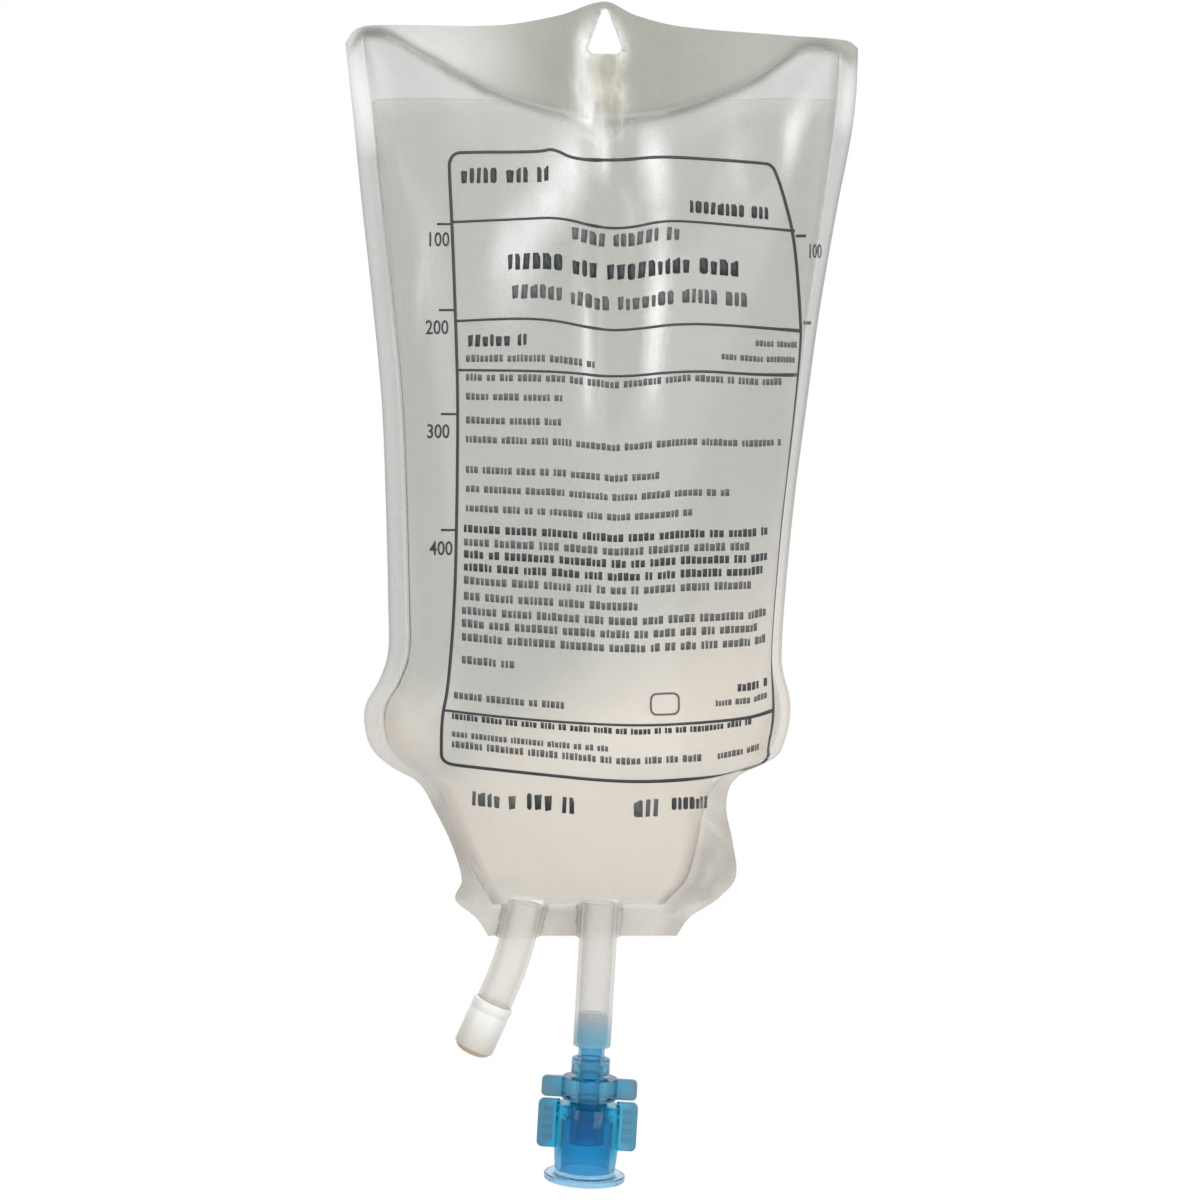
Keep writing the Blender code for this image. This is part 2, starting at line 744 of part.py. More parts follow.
def wing_ribs(name, cap_top, home, parent):
    """Raised grip ribs on both faces of both wings."""
    inner = CAP_DIAMETER / 2 + WING_RIM
    outer = WING_SPAN / 2 - WING_CORNER
    ribs = bmesh.new()
    pitch = (WING_HEIGHT - 2 * WING_CORNER) / RIB_COUNT
    for side in (-1, 1):
        for index in range(RIB_COUNT):
            z = -cap_top - WING_CORNER - pitch * (index + 0.5)
            cube = bmesh.ops.create_cube(ribs, size=1.0)["verts"]
            size = (outer - inner, WING_THICKNESS + 2 * WING_RIM_HEIGHT, RIB_WIDTH)
            bmesh.ops.scale(ribs, verts=cube, vec=size)
            bmesh.ops.translate(ribs, verts=cube, vec=(side * (outer + inner) / 2, 0.0, z))
    mesh = bpy.data.meshes.new(name)
    ribs.to_mesh(mesh)
    ribs.free()
    return as_cutter(place(name, mesh, home, parent=parent))


def twist_off_cap(home, cutters, axis):
    """Cap with a collar round the nozzle, two ribbed wings and a round flange at its foot."""
    top = HUB_DEPTH + HUB_HEIGHT + CAP_GAP
    body_top = top + 2 * CAP_GAP
    foot = top + CAP_HEIGHT
    flange_foot = foot + FLANGE_THICKNESS
    collar = NOZZLE_DIAMETER / 2 + SEAT_GAP
    outer = CAP_DIAMETER / 2
    lower = CAP_FOOT_DIAMETER / 2
    inner = lower - CAP_WALL
    rim = FLANGE_DIAMETER / 2
    profile = (
        (0.0, foot - CAP_FLOOR + FLANGE_THICKNESS),
        (inner, foot - CAP_FLOOR + FLANGE_THICKNESS),
        (inner, body_top + CAP_COLLAR_HEIGHT + inner - collar),
        (collar, body_top + CAP_COLLAR_HEIGHT),
        (collar, body_top),
        (outer - EDGE_ROUND, body_top),
        (outer, body_top + EDGE_ROUND),
        (outer, body_top + WING_HEIGHT),
        (lower, foot - EDGE_ROUND),
        (lower + EDGE_ROUND, foot),
        (rim - EDGE_ROUND, foot),
        (rim, foot + EDGE_ROUND),
        (rim, flange_foot - EDGE_ROUND),
        (rim - EDGE_ROUND, flange_foot),
        (0.0, flange_foot),
    )
    cap = turned("twist_off_cap", profile, home, BLUE_CAP, axis)
    wings = pair_of_plates(
        "wings",
        (inner + outer) / 2,
        WING_SPAN / 2,
        top,
        WING_HEIGHT,
        WING_THICKNESS,
        WING_CORNER,
        cutters,
        axis,
    )
    combine(cap, wings, "UNION")
    combine(cap, wing_ribs("wing_ribs", top, cutters, axis), "UNION")
    return cap


def main():
    """Builds the bag from the hanger down to the cap."""
    for made in list(bpy.data.objects):
        bpy.data.objects.remove(made)
    parts = collection("iv_fluid_bag")
    cutters = collection("cutters")
    hole = hanger_hole(cutters)
    film_sheet("film_front", True, parts, hole)
    film_sheet("film_back", False, parts, hole)
    liquid(parts, cutters)
    supply_route = [
        along_axis(SUPPLY_X, SUPPLY_TILT, -TUBE_ENTRY),
        along_axis(SUPPLY_X, SUPPLY_TILT, SUPPLY_TUBE_LENGTH),
    ]
    tube("administration_port_tube", supply_route, SUPPLY_TUBE_DIAMETER, parts, CLEAR_TUBE)
    supply_axis = axis_empty("administration_port_axis", supply_route[-1], SUPPLY_TILT, parts)
    spike_port(parts, cutters, supply_axis)
    twist_off_cap(parts, cutters, supply_axis)
    route = site_route()
    tube("injection_port_tube", route, SITE_TUBE_DIAMETER, parts, CLEAR_TUBE)
    site_axis = axis_empty("injection_port_axis", route[-1], SITE_TILT + SITE_BEND, parts)
    injection_site(parts, site_axis)


main()
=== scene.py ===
"""Dresses the hanging infusion bag: film pouch, liquid, print, port tubes, spike port, cap and studio."""

import logging
import math
import random
from dataclasses import dataclass
from enum import Enum
from typing import Any, Mapping, Sequence, Union

import bmesh
import bpy
import numpy as np
from mathutils import Matrix, Vector


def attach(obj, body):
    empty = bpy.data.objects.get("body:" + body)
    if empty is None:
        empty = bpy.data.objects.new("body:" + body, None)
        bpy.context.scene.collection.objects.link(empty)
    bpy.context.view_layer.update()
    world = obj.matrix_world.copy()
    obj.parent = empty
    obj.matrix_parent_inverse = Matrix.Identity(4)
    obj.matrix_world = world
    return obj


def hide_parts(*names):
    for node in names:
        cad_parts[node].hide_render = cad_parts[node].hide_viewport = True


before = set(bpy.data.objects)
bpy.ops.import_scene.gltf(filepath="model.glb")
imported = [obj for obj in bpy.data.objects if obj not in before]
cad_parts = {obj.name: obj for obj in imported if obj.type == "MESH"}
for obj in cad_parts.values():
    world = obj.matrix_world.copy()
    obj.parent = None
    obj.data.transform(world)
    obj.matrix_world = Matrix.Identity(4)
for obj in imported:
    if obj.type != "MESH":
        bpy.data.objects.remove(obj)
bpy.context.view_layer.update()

MM = 0.001
LOG = logging.getLogger("infusion_bag")

Array = np.ndarray
Point2 = tuple[float, float]
Span = tuple[float, float]
Colour = tuple[float, float, float]


class Body(Enum):
    """Bodies that the pieces ride on."""

    BAG = "bag"
    CAP = "cap"


class Face(Enum):
    """Front or back film, with the way its outer face looks along Y."""

    FRONT = -1.0
    BACK = 1.0


class Ink(Enum):
    """Darkness of the print."""

    BLACK = 1.0
    GREY = 0.55


# Shader graphs


class Link:
    """Output socket of a node, on which maths is written as a Python expression."""

    def __init__(self, bench: "Bench", socket: bpy.types.NodeSocket) -> None:
        """Keeps the socket and the bench that it is on."""
        self.bench = bench
        self.socket = socket

    def math(self, operation: str, *values: "Value") -> "Link":
        """Adds a Math node.

        Args:
            operation: Name of the Math node's operation.
            values: Values of its sockets, in order.

        Returns:
            The node's result.
        """
        return self.bench.node("ShaderNodeMath", {"operation": operation}, dict(enumerate(values)))

    def __add__(self, other: "Value") -> "Link":
        """Adds two values."""
        return self.math("ADD", self, other)

    def __radd__(self, other: "Value") -> "Link":
        """Adds two values, number first."""
        return self.math("ADD", other, self)

    def __sub__(self, other: "Value") -> "Link":
        """Takes a value away."""
        return self.math("SUBTRACT", self, other)

    def __rsub__(self, other: "Value") -> "Link":
        """Takes this value away from a number."""
        return self.math("SUBTRACT", other, self)

    def __mul__(self, other: "Value") -> "Link":
        """Multiplies two values."""
        return self.math("MULTIPLY", self, other)

    def __rmul__(self, other: "Value") -> "Link":
        """Multiplies two values, number first."""
        return self.math("MULTIPLY", other, self)

    def clamped(self, low: float = 0.0, high: float = 1.0) -> "Link":
        """Holds the value between two limits."""
        return self.math("MAXIMUM", self.math("MINIMUM", self, high), low)


Value = Union[Link, float, int, Sequence[float]]


class Bench:
    """Node tree of one material, or of the world."""

    def __init__(self, tree: bpy.types.NodeTree) -> None:
        """Clears a node tree to build in."""
        self.tree = tree
        self.tree.nodes.clear()

    def node(
        self,
        kind: str,
        settings: Mapping[str, Any] | None = None,
        inputs: Mapping[Union[str, int], Value] | None = None,
        output: Union[str, int] = 0,
    ) -> Link:
        """Adds a node, sets it up and fills its sockets.

        Args:
            kind: Type name of the node.
            settings: Its settings, set before its sockets.
            inputs: Values or links by socket name or number.
            output: Name or number of the output that is returned.

        Returns:
            The chosen output.
        """
        made = self.tree.nodes.new(kind)
        for name, setting in (settings or {}).items():
            setattr(made, name, setting)
        for name, value in (inputs or {}).items():
            if isinstance(value, Link):
                self.tree.links.new(value.socket, made.inputs[name])
            else:
                made.inputs[name].default_value = value
        outputs = made.outputs
        return Link(self, outputs[output]) if len(outputs) else Link(self, made.inputs[0])

    def mask(self, name: str) -> Link:
        """Reads one of the masks that a mesh carries."""
        return self.node("ShaderNodeAttribute", {"attribute_name": name}, output="Fac")

    def colours(self, share: Value, first: Union[Link, Colour], second: Union[Link, Colour]) -> Link:
        """Mixes two colours.

        Args:
            share: Share of the second colour.
            first: Colour at share 0.
            second: Colour at share 1.

        Returns:
            The mixed colour.
        """
        ends = {6: first, 7: second}
        inputs = {n: end if isinstance(end, Link) else (*end, 1.0) for n, end in ends.items()}
        return self.node("ShaderNodeMix", {"data_type": "RGBA"}, {0: share, **inputs}, output=2)

    def place(self) -> Link:
        """Coordinates in the object's own space, in metres."""
        return self.node("ShaderNodeTexCoord", output="Object")

    def noise(self, scale: float, detail: float = 3.0, stretch: Sequence[float] = (1, 1, 1)) -> Link:
        """Soft noise over the object.

        Args:
            scale: Lumps in a metre.
            detail: Octaves of finer noise.
            stretch: Factors on X, Y and Z before the noise is read.

        Returns:
            The noise, about 0.5.
        """
        spread = {"operation": "MULTIPLY"}
        place = self.node("ShaderNodeVectorMath", spread, {0: self.place(), 1: stretch})
        return self.node("ShaderNodeTexNoise", None, {"Vector": place, "Scale": scale, "Detail": detail})

    def bump(self, height: Link, strength: float, distance: float) -> Link:
        """Bumps the surface by a height."""
        inputs = {"Height": height, "Strength": strength, "Distance": distance}
        return self.node("ShaderNodeBump", None, inputs)

    def surface(self, **sockets: Value) -> None:
        """Ends the material in a Principled shader.

        Args:
            sockets: Values or links by the socket's name, with underscores for its spaces.
        """
        inputs = {name.replace("_", " "): value for name, value in sockets.items()}
        shader = self.node("ShaderNodeBsdfPrincipled", None, inputs)
        self.node("ShaderNodeOutputMaterial", None, {"Surface": shader})


@dataclass(frozen=True)
class Grain:
    """Noise of one size over a surface, drawn out down the piece, and how hard it is cut into patches."""

    scale: float
    detail: float = 3.0
    drawn: float = 1.0
    middle: float = 0.5
    gain: float = 1.0

    def noise(self, bench: Bench) -> Link:
        """Plain noise, about 0.5."""
        return bench.noise(self.scale, self.detail, (1.0, 1.0, self.drawn))

    def swing(self, bench: Bench) -> Link:
        """Noise about its middle, times its gain."""
        return (self.noise(bench) - self.middle) * self.gain


class Finish:
    """A material, made once and then shared."""

    name = "finish"

    def dress(self, bench: Bench) -> None:
        """Builds the nodes in a material's tree."""
        raise NotImplementedError

    def material(self) -> bpy.types.Material:
        """Makes the material, or finds it if it is there.

        Returns:
            The material.
        """
        found = bpy.data.materials.get(self.name)
        if found:
            return found
        made = bpy.data.materials.new(self.name)
        made.use_nodes = True
        self.dress(Bench(made.node_tree))
        return made


@dataclass(frozen=True)
class FilmFinish(Finish):
    """Clear glossy film, a little milky, greyer where two sheets are welded, with painted highlights,
    painted shade, painted warm light and a painted dark outline on its edges.
    """

    name: str = "film_clear"
    clear: Colour = (0.36, 0.37, 0.335)
    light: Colour = (0.60, 0.62, 0.59)
    warm: Colour = (0.70, 0.63, 0.535)
    line: Colour = (0.27, 0.262, 0.24)
    hanger: Colour = (0.66, 0.685, 0.64)
    # Dark tone for the painted shade, and for random blotches on the hanger
    hanger_dark: Colour = (0.35, 0.345, 0.285)
    flap: Colour = (0.64, 0.605, 0.53)
    # Painted shade on the flap's folds
    flap_shade: Colour = (0.38, 0.33, 0.245)
    cream: Colour = (0.72, 0.70, 0.59)
    # Colour of the painted highlights
    painted_highlight: Colour = (0.96, 0.97, 0.97)
    chamber_alpha: float = 0.18
    flange_alpha: float = 0.37
    hanger_alpha: float = 0.62
    flap_alpha: float = 0.50
    line_alpha: float = 0.74
    roughness: float = 0.20
    ior: float = 1.55
    facet_shading: Grain = Grain(75.0, 1.5, 0.55, 0.46, 6.0)
    cloud: Grain = Grain(30.0, 4.0, 0.5)
    mottle: Grain = Grain(160.0, 3.0, 0.5, 0.4, 4.0)
    crinkle_glints: Grain = Grain(420.0, 3.0, 0.35, 0.5, 6.0)
    haze: Grain = Grain(6000.0, 0.0, gain=0.6)
    fine: Grain = Grain(900.0, 2.0)
    lumps: Grain = Grain(120.0, 3.0, 0.4)

    def dress(self, bench: Bench) -> None:
        """Builds the nodes.

        Args:
            bench: Tree of the material.
        """
        weld, hanger, warm, rim = (bench.mask(name) for name in ("weld", "hanger", "warm", "rim"))
        flange, strip, flap = (bench.mask(name) for name in ("flange", "strip", "flap"))
        painted_shade, painted_highlight, bare = (bench.mask(name) for name in ("painted_shade", "painted_highlight", "bare"))
        facet_shading, mottle, crinkle_glints = (
            grain.swing(bench).clamped() for grain in (self.facet_shading, self.mottle, self.crinkle_glints)
        )
        cloud = self.cloud.noise(bench)
        colour = bench.colours(((cloud - 0.45) * 2.4).clamped() * 0.6, self.clear, self.light)
        # Painted shade darkens the film where its mask is set
        colour = bench.colours(painted_shade * 0.5, colour, self.hanger_dark)
        # On the hanger, painted shade and random blotches turn its tone towards the dark one
        blotched = (painted_shade + (cloud - 0.5) * 0.45).clamped()
        colour = bench.colours(hanger, colour, bench.colours(blotched, self.hanger, self.hanger_dark))
        # Painted warm light on the lower bag and its ears
        colour = bench.colours(warm, colour, self.warm)
        # Painted shade on the folded flap, from the shade mask and a facet-like noise
        folded = (painted_shade + facet_shading * 0.7).clamped()
        colour = bench.colours(flap, colour, bench.colours(folded, self.flap, self.flap_shade))
        colour = bench.colours(strip * (0.35 + mottle * 0.65), colour, self.cream)
        # The weld's own dark line, and a painted dark outline along the film's outer edge
        line = (weld + rim * 0.45).clamped()
        colour = bench.colours(line, colour, self.line)
        # Painted highlights: pale streaks from the highlight mask, and painted glints in the pleat's
        # crinkles
        painted_gleam = (painted_highlight * (0.75 + mottle * 0.25) + strip * crinkle_glints * 0.5).clamped()
        colour = bench.colours(painted_gleam, colour, self.painted_highlight)
        alpha = self.chamber_alpha + hanger * (self.hanger_alpha - self.chamber_alpha)
        alpha = alpha + flange * (self.flange_alpha - self.chamber_alpha)
        alpha = alpha + flap * (self.flap_alpha - self.chamber_alpha) + (cloud - 0.5) * 0.10
        alpha = alpha + (self.line_alpha - alpha) * line
        haze = self.haze.swing(bench)
        # The painted highlights also make the film less clear where they lie
        alpha = (alpha * (1.0 + haze) + strip * 0.15 + painted_highlight * (0.70 + haze)) * (1.0 - bare * 0.8)
        relief = self.fine.noise(bench) * 0.25 + self.lumps.noise(bench)
        bench.surface(
            Base_Color=colour,
            Alpha=alpha.clamped(0.02, 0.92),
            Roughness=(self.roughness + (cloud - 0.5) * 0.16).clamped(0.04, 0.6),
            IOR=self.ior,
            Normal=bench.bump(relief, 0.14, 0.0006),
        )


@dataclass(frozen=True)
class LiquidFinish(Finish):
    """Clear saline, tinted by what stands behind the bag, with painted warm light in its lower lobes."""

    name: str = "saline_liquid"
    clear: Colour = (0.75, 0.765, 0.72)
    light: Colour = (0.85, 0.86, 0.835)
    warm: Colour = (0.95, 0.915, 0.855)
    rim: Colour = (0.93, 0.93, 0.92)
    ior: float = 1.05
    cloud: Grain = Grain(22.0, 2.0, 0.6, 0.42, 1.2)
    waves: Grain = Grain(60.0, 1.0)

    def dress(self, bench: Bench) -> None:
        """Builds the nodes.

        Args:
            bench: Tree of the material.
        """
        lighter = (self.cloud.swing(bench) + bench.mask("level")).clamped()
        clear = bench.colours(lighter, self.clear, self.light)
        # Painted warm light on the lower bag and its ears
        colour = bench.colours(bench.mask("warm"), clear, self.warm)
        bench.surface(
            Base_Color=bench.colours(bench.mask("edge"), colour, self.rim),
            Roughness=0.03,
            IOR=self.ior,
            Transmission_Weight=1.0,
            Normal=bench.bump(self.waves.noise(bench), 0.05, 0.0004),
        )


@dataclass(frozen=True)
class TubeFinish(Finish):
    """Soft clear tube, milky where it curves away, with painted shade towards its edges."""

    name: str = "tube_clear"
    core: Colour = (0.80, 0.77, 0.71)
    edge: Colour = (0.66, 0.63, 0.58)
    stem: Colour = (0.24, 0.55, 0.70)
    alpha: float = 0.27
    cloud: Grain = Grain(150.0, 3.0, 0.3)

    def dress(self, bench: Bench) -> None:
        """Builds the nodes.

        Args:
            bench: Tree of the material.
        """
        facing = bench.node("ShaderNodeLayerWeight", None, {"Blend": 0.35}, output="Facing")
        cloud = self.cloud.noise(bench)
        stem = bench.mask("stem")
        # Painted shade: the tube's colour darker towards its edges as the surface turns away
        colour = bench.colours(stem, bench.colours(facing, self.core, self.edge), self.stem)
        bench.surface(
            Base_Color=colour,
            Alpha=(self.alpha + facing * 0.30 + (cloud - 0.5) * 0.15 + stem * 0.22).clamped(),
            Roughness=(0.22 + (cloud - 0.5) * 0.2).clamped(0.05, 0.6),
            IOR=1.6,
            Normal=bench.bump(cloud, 0.15, 0.0004),
        )


@dataclass(frozen=True)
class MouldedFinish(Finish):
    """Clear coloured moulding, paler where its mask says that it is thin, with painted shade at its rims
    and where a second mask paints it.
    """

    name: str = "blue_clear"
    deep: Colour = (0.10, 0.45, 0.74)
    pale: Colour = (0.52, 0.72, 0.90)
    grey: Colour = (0.28, 0.42, 0.52)
    shade: Colour = (0.0, 0.10, 0.20)
    roughness: float = 0.10
    gloss: float = 0.5
    cloud: Grain = Grain(180.0)

    def dress(self, bench: Bench) -> None:
        """Builds the nodes.

        Args:
            bench: Tree of the material.
        """
        cloud = self.cloud.noise(bench)
        facing = bench.node("ShaderNodeLayerWeight", None, {"Blend": 0.4}, output="Facing")
        colour = bench.colours(bench.mask("thin"), self.deep, self.pale)
        colour = bench.colours(bench.mask("grip"), colour, self.grey)
        # Painted shade: darker towards the rims as the surface turns away, and where the shading mask
        # paints it
        shaded = (facing * (1.0 - bench.mask("thin")) * 0.85 + bench.mask("painted_shading")).clamped()
        bench.surface(
            Base_Color=bench.colours(shaded, colour, self.shade),
            Roughness=(self.roughness + (cloud - 0.5) * 0.15).clamped(0.03, 0.5),
            IOR=1.32,
            Specular_IOR_Level=self.gloss,
            Transmission_Weight=0.92,
            Normal=bench.bump(cloud, 0.08, 0.0003),
        )


@dataclass(frozen=True)
class SoftFinish(Finish):
    """Opaque soft moulding with a fine grain and a little wear."""

    name: str = "sleeve_white"
    colour: Colour = (0.99, 0.975, 0.93)
    worn: Colour = (0.95, 0.91, 0.84)
    end: Colour = (0.62, 0.53, 0.45)
    roughness: float = 0.38
    grain: Grain = Grain(900.0, 2.0)
    wear: Grain = Grain(260.0, 4.0)

    def dress(self, bench: Bench) -> None:
        """Builds the nodes.

        Args:
            bench: Tree of the material.
        """
        wear = self.wear.noise(bench)
        plain = bench.colours((wear - 0.35).clamped() * 1.6, self.colour, self.worn)
        bench.surface(
            Base_Color=bench.colours(bench.mask("end"), plain, self.end),
            Roughness=(self.roughness + (wear - 0.5) * 0.25).clamped(0.1, 0.9),
            Subsurface_Weight=0.3,
            Subsurface_Radius=(0.003, 0.002, 0.0015),
            Subsurface_Scale=0.5,
            Normal=bench.bump(self.grain.noise(bench), 0.2, 0.0002),
        )


@dataclass(frozen=True)
class InkFinish(Finish):
    """Printed ink, patchy where the roller left less."""

    name: str = "ink"
    dark: Colour = (0.018, 0.022, 0.024)
    faded: Colour = (0.20, 0.21, 0.205)
    patches: Grain = Grain(1400.0, 4.0)

    def dress(self, bench: Bench) -> None:
        """Builds the nodes.

        Args:
            bench: Tree of the material.
        """
        patches = self.patches.noise(bench)
        fade = (1.0 - bench.mask("ink") + (patches - 0.52) * 0.8).clamped()
        bench.surface(
            Base_Color=bench.colours(fade, self.dark, self.faded),
            Roughness=(0.35 + patches * 0.3).clamped(),
            Normal=bench.bump(patches, 0.1, 0.0001),
        )


# Shape of the bag, repeated from the part's source

# Sides, by share of the drop: share of half the width, multiple of the side weld, fold in degrees
LEFT_SIDE = (
    (0.00, -0.930, 1.0, 0.0), (0.09, -0.896, 1.0, 0.0), (0.20, -0.853, 1.0, 0.0),
    (0.31, -0.806, 1.0, 0.0), (0.42, -0.767, 1.0, 0.0), (0.53, -0.751, 1.0, 0.0),
    (0.64, -0.743, 1.0, 0.0), (0.69, -0.745, 1.0, 0.0), (0.72, -0.781, 1.0, 5.0),
    (0.745, -0.832, 1.0, 10.0), (0.77, -0.838, 1.0, 15.0), (0.795, -0.810, 1.0, 15.0),
    (0.815, -0.735, 1.0, 15.0), (0.83, -0.655, 0.8, 15.0), (0.86, -0.605, 0.6, 15.0),
    (0.90, -0.545, 0.5, 20.0), (0.94, -0.480, 0.9, 20.0), (0.962, -0.430, 2.0, 15.0),
    (0.98, -0.415, 1.0, 5.0), (1.00, -0.410, 0.4, 0.0),
)
RIGHT_SIDE = (
    (0.00, 0.930, 1.0, 0.0), (0.09, 0.923, 1.0, 0.0), (0.20, 0.877, 1.0, 38.0),
    (0.31, 0.828, 1.0, 55.0), (0.42, 0.782, 1.0, 60.0), (0.53, 0.732, 1.0, 60.0),
    (0.64, 0.695, 1.0, 60.0), (0.70, 0.683, 1.0, 60.0), (0.72, 0.692, 1.0, 60.0),
    (0.745, 0.716, 1.0, 60.0), (0.77, 0.716, 1.0, 60.0), (0.795, 0.685, 1.0, 55.0),
    (0.81, 0.640, 1.0, 45.0), (0.83, 0.480, 1.0, 35.0), (0.86, 0.415, 1.3, 30.0),
    (0.90, 0.385, 2.2, 30.0), (0.94, 0.340, 3.0, 25.0), (0.962, 0.265, 3.0, 20.0),
    (0.98, 0.215, 2.0, 10.0), (1.00, 0.200, 1.4, 0.0),
)
# By share of the drop: share of the twist
TWIST_SHARE = ((0.12, 0.0), (0.25, 0.5), (0.42, 1.0), (0.74, 1.0), (0.86, 0.4), (0.95, 0.0))
# By share across: multiple of the weld's dip, strength of its line
HANGER_WELD = (
    (-1.00, 0.42, 0.50), (-0.93, 0.215, 0.90), (-0.86, 0.20, 1.00), (-0.82, 0.23, 1.00),
    (-0.76, 0.315, 1.00), (-0.70, 0.405, 1.00), (-0.64, 0.48, 0.95), (-0.585, 0.56, 0.80),
    (-0.525, 0.633, 0.70), (-0.47, 0.705, 0.65), (-0.35, 0.813, 0.60), (-0.235, 0.89, 0.60),
    (-0.12, 0.949, 0.60), (0.00, 0.985, 0.55), (0.14, 0.962, 0.60), (0.255, 0.922, 0.75),
    (0.37, 0.849, 0.80), (0.49, 0.741, 0.80), (0.605, 0.614, 0.75), (0.70, 0.46, 0.75),
    (0.78, 0.34, 1.00), (0.84, 0.315, 1.00), (0.90, 0.334, 0.80), (1.00, 0.50, 0.50),
)
# By share across: multiple of the edge's drop
TOP_EDGE = (
    (-1.00, 2.10), (-0.96, 1.30), (-0.88, 1.00), (-0.40, 1.00), (-0.16, 0.40), (0.02, -0.45),
    (0.13, 0.35), (0.30, 1.05), (0.70, 1.60), (0.96, 1.95), (1.00, 2.40),
)


def through(points: Sequence[Sequence[float]], place: Array, value: int = 1) -> Array:
    """Reads a smooth curve through rows of points.

    Args:
        points: Rows that begin with a place.
        place: Places to read at.
        value: Column of the rows to read.

    Returns:
        The curve's values.
    """
    rows = np.array(points)
    places, values = rows[:, 0], rows[:, value]
    place = np.clip(place, places[0], places[-1])
    index = np.clip(np.searchsorted(places, place, side="right") - 1, 0, len(places) - 2)
    count = np.arange(len(places))
    first, last = np.maximum(count - 1, 0), np.minimum(count + 1, len(places) - 1)
    slopes = (values[last] - values[first]) / (places[last] - places[first])
    run = places[index + 1] - places[index]
    rise = values[index + 1] - values[index]
    t = (place - places[index]) / run
    bend = t * (1 - t) * (((1 - t) * slopes[index] - t * slopes[index + 1]) * run - (1 - 2 * t) * rise)
    return values[index] + rise * t + bend


def smooth(low: Union[float, Array], high: Union[float, Array], value: Array) -> Array:
    """Smooth step from 0 at low to 1 at high."""
    t = np.clip((value - low) / (high - low), 0.0, 1.0)
    return t * t * (3 - 2 * t)


def crowded(even: Array, shares: Span) -> Array:
    """Crowds even places from -1 to 1 towards both ends, by the shares of a sine and of even steps."""
    return shares[0] * np.sin(even * math.pi / 2) + shares[1] * even


def eased(share: Array) -> Array:
    """Crowds even shares from 0 to 1 a little towards both ends."""
    return 0.6 * share + 0.4 * (1 - np.cos(np.pi * share)) / 2


@dataclass(frozen=True)
class PhotoPlane:
    """Photograph's pixels on the plane of the bag's welds."""

    hang_point: Point2 = (604.85, 13.0)
    pixel: float = 0.2476 * MM

    def at(self, px: float, py: float) -> Point2:
        """Place in X and Z of a pixel."""
        return (px - self.hang_point[0]) * self.pixel, -(py - self.hang_point[1]) * self.pixel


@dataclass(frozen=True)
class Crease:
    """Soft ridge, or valley where its height is negative, along a path of photograph pixels."""

    path: tuple[Point2, ...]
    width: float
    height: float

    def raised(self, x: Array, z: Array) -> Array:
        """Height of the crease over the film, faded at both ends of its path.

        Args:
            x: Places across.
            z: Heights.

        Returns:
            The height at each place.
        """
        plane = PhotoPlane()
        points = np.array([plane.at(*point) for point in self.path])
        lengths = np.linalg.norm(np.diff(points, axis=0), axis=1)
        starts = np.concatenate([[0.0], np.cumsum(lengths)])
        best = np.full(np.shape(x), 1e9)
        along = np.zeros(np.shape(x))
        for start, end, length, run in zip(points, points[1:], lengths, starts):
            way = (end - start) / length
            t = np.clip((x - start[0]) * way[0] + (z - start[1]) * way[1], 0.0, length)
            away = np.hypot(x - start[0] - t * way[0], z - start[1] - t * way[1])
            near = away < best
            best = np.where(near, away, best)
            along = np.where(near, run + t, along)
        fade = np.sin(np.pi * np.clip(along / starts[-1], 0.0, 1.0)) ** 0.7
        return self.height * MM * fade * np.exp(-((best / (self.width * MM)) ** 2))


def strokes(*rows: tuple[tuple[Point2, ...], float, float]) -> tuple[Crease, ...]:
    """Makes creases from rows of a path, a width and a height."""
    return tuple(Crease(*row) for row in rows)


FRONT_CREASES = strokes(
    (((605, 100), (603, 170), (601, 300), (604, 450)), 2.4, -1.1),
    (((580, 118), (576, 200), (574, 330)), 3.2, 0.7),
    (((632, 118), (636, 200), (642, 400)), 3.2, 0.8),
    (((617, 120), (618, 200), (616, 290)), 1.2, 0.35),
    (((592, 122), (590, 190), (592, 260)), 1.2, 0.3),
    (((470, 92), (478, 150), (480, 210)), 4.0, 0.55),
    (((510, 108), (514, 160), (512, 230)), 3.5, -0.45),
    (((545, 118), (548, 170), (545, 240)), 3.0, 0.45),
    (((662, 122), (668, 180), (672, 260)), 3.0, -0.4),
    (((695, 112), (702, 170), (705, 250)), 3.6, 0.5),
    (((735, 96), (742, 150), (748, 220)), 3.6, -0.45),
    (((775, 75), (780, 130), (786, 200)), 3.6, 0.7),
    (((352, 70), (380, 120), (402, 230)), 4.0, 0.6),
    (((372, 60), (410, 110), (440, 200)), 4.0, -0.4),
    (((842, 90), (822, 150), (812, 260), (806, 420)), 2.2, 0.8),
    (((826, 110), (806, 200), (798, 330)), 2.6, -0.6),
    (((392, 250), (402, 400), (404, 620)), 3.0, 0.4),
    (((382, 705), (420, 730), (450, 765)), 3.2, 0.9),
    (((388, 745), (430, 760), (470, 800)), 3.0, -0.9),
    (((400, 690), (440, 700), (500, 690)), 5.0, -0.6),
    (((784, 700), (760, 745), (735, 790)), 3.2, 0.9),
    (((792, 730), (760, 765), (728, 800)), 2.6, -0.8),
    (((445, 800), (462, 850), (480, 890)), 2.8, 0.8),
    (((462, 800), (488, 850), (500, 895)), 2.8, -0.7),
    (((725, 800), (700, 850), (672, 900)), 3.2, -1.1),
    (((700, 800), (680, 850), (650, 900)), 3.0, 0.8),
    (((560, 850), (555, 885), (558, 915)), 2.6, 0.5),
    (((610, 860), (612, 890), (608, 918)), 2.6, -0.4),
)
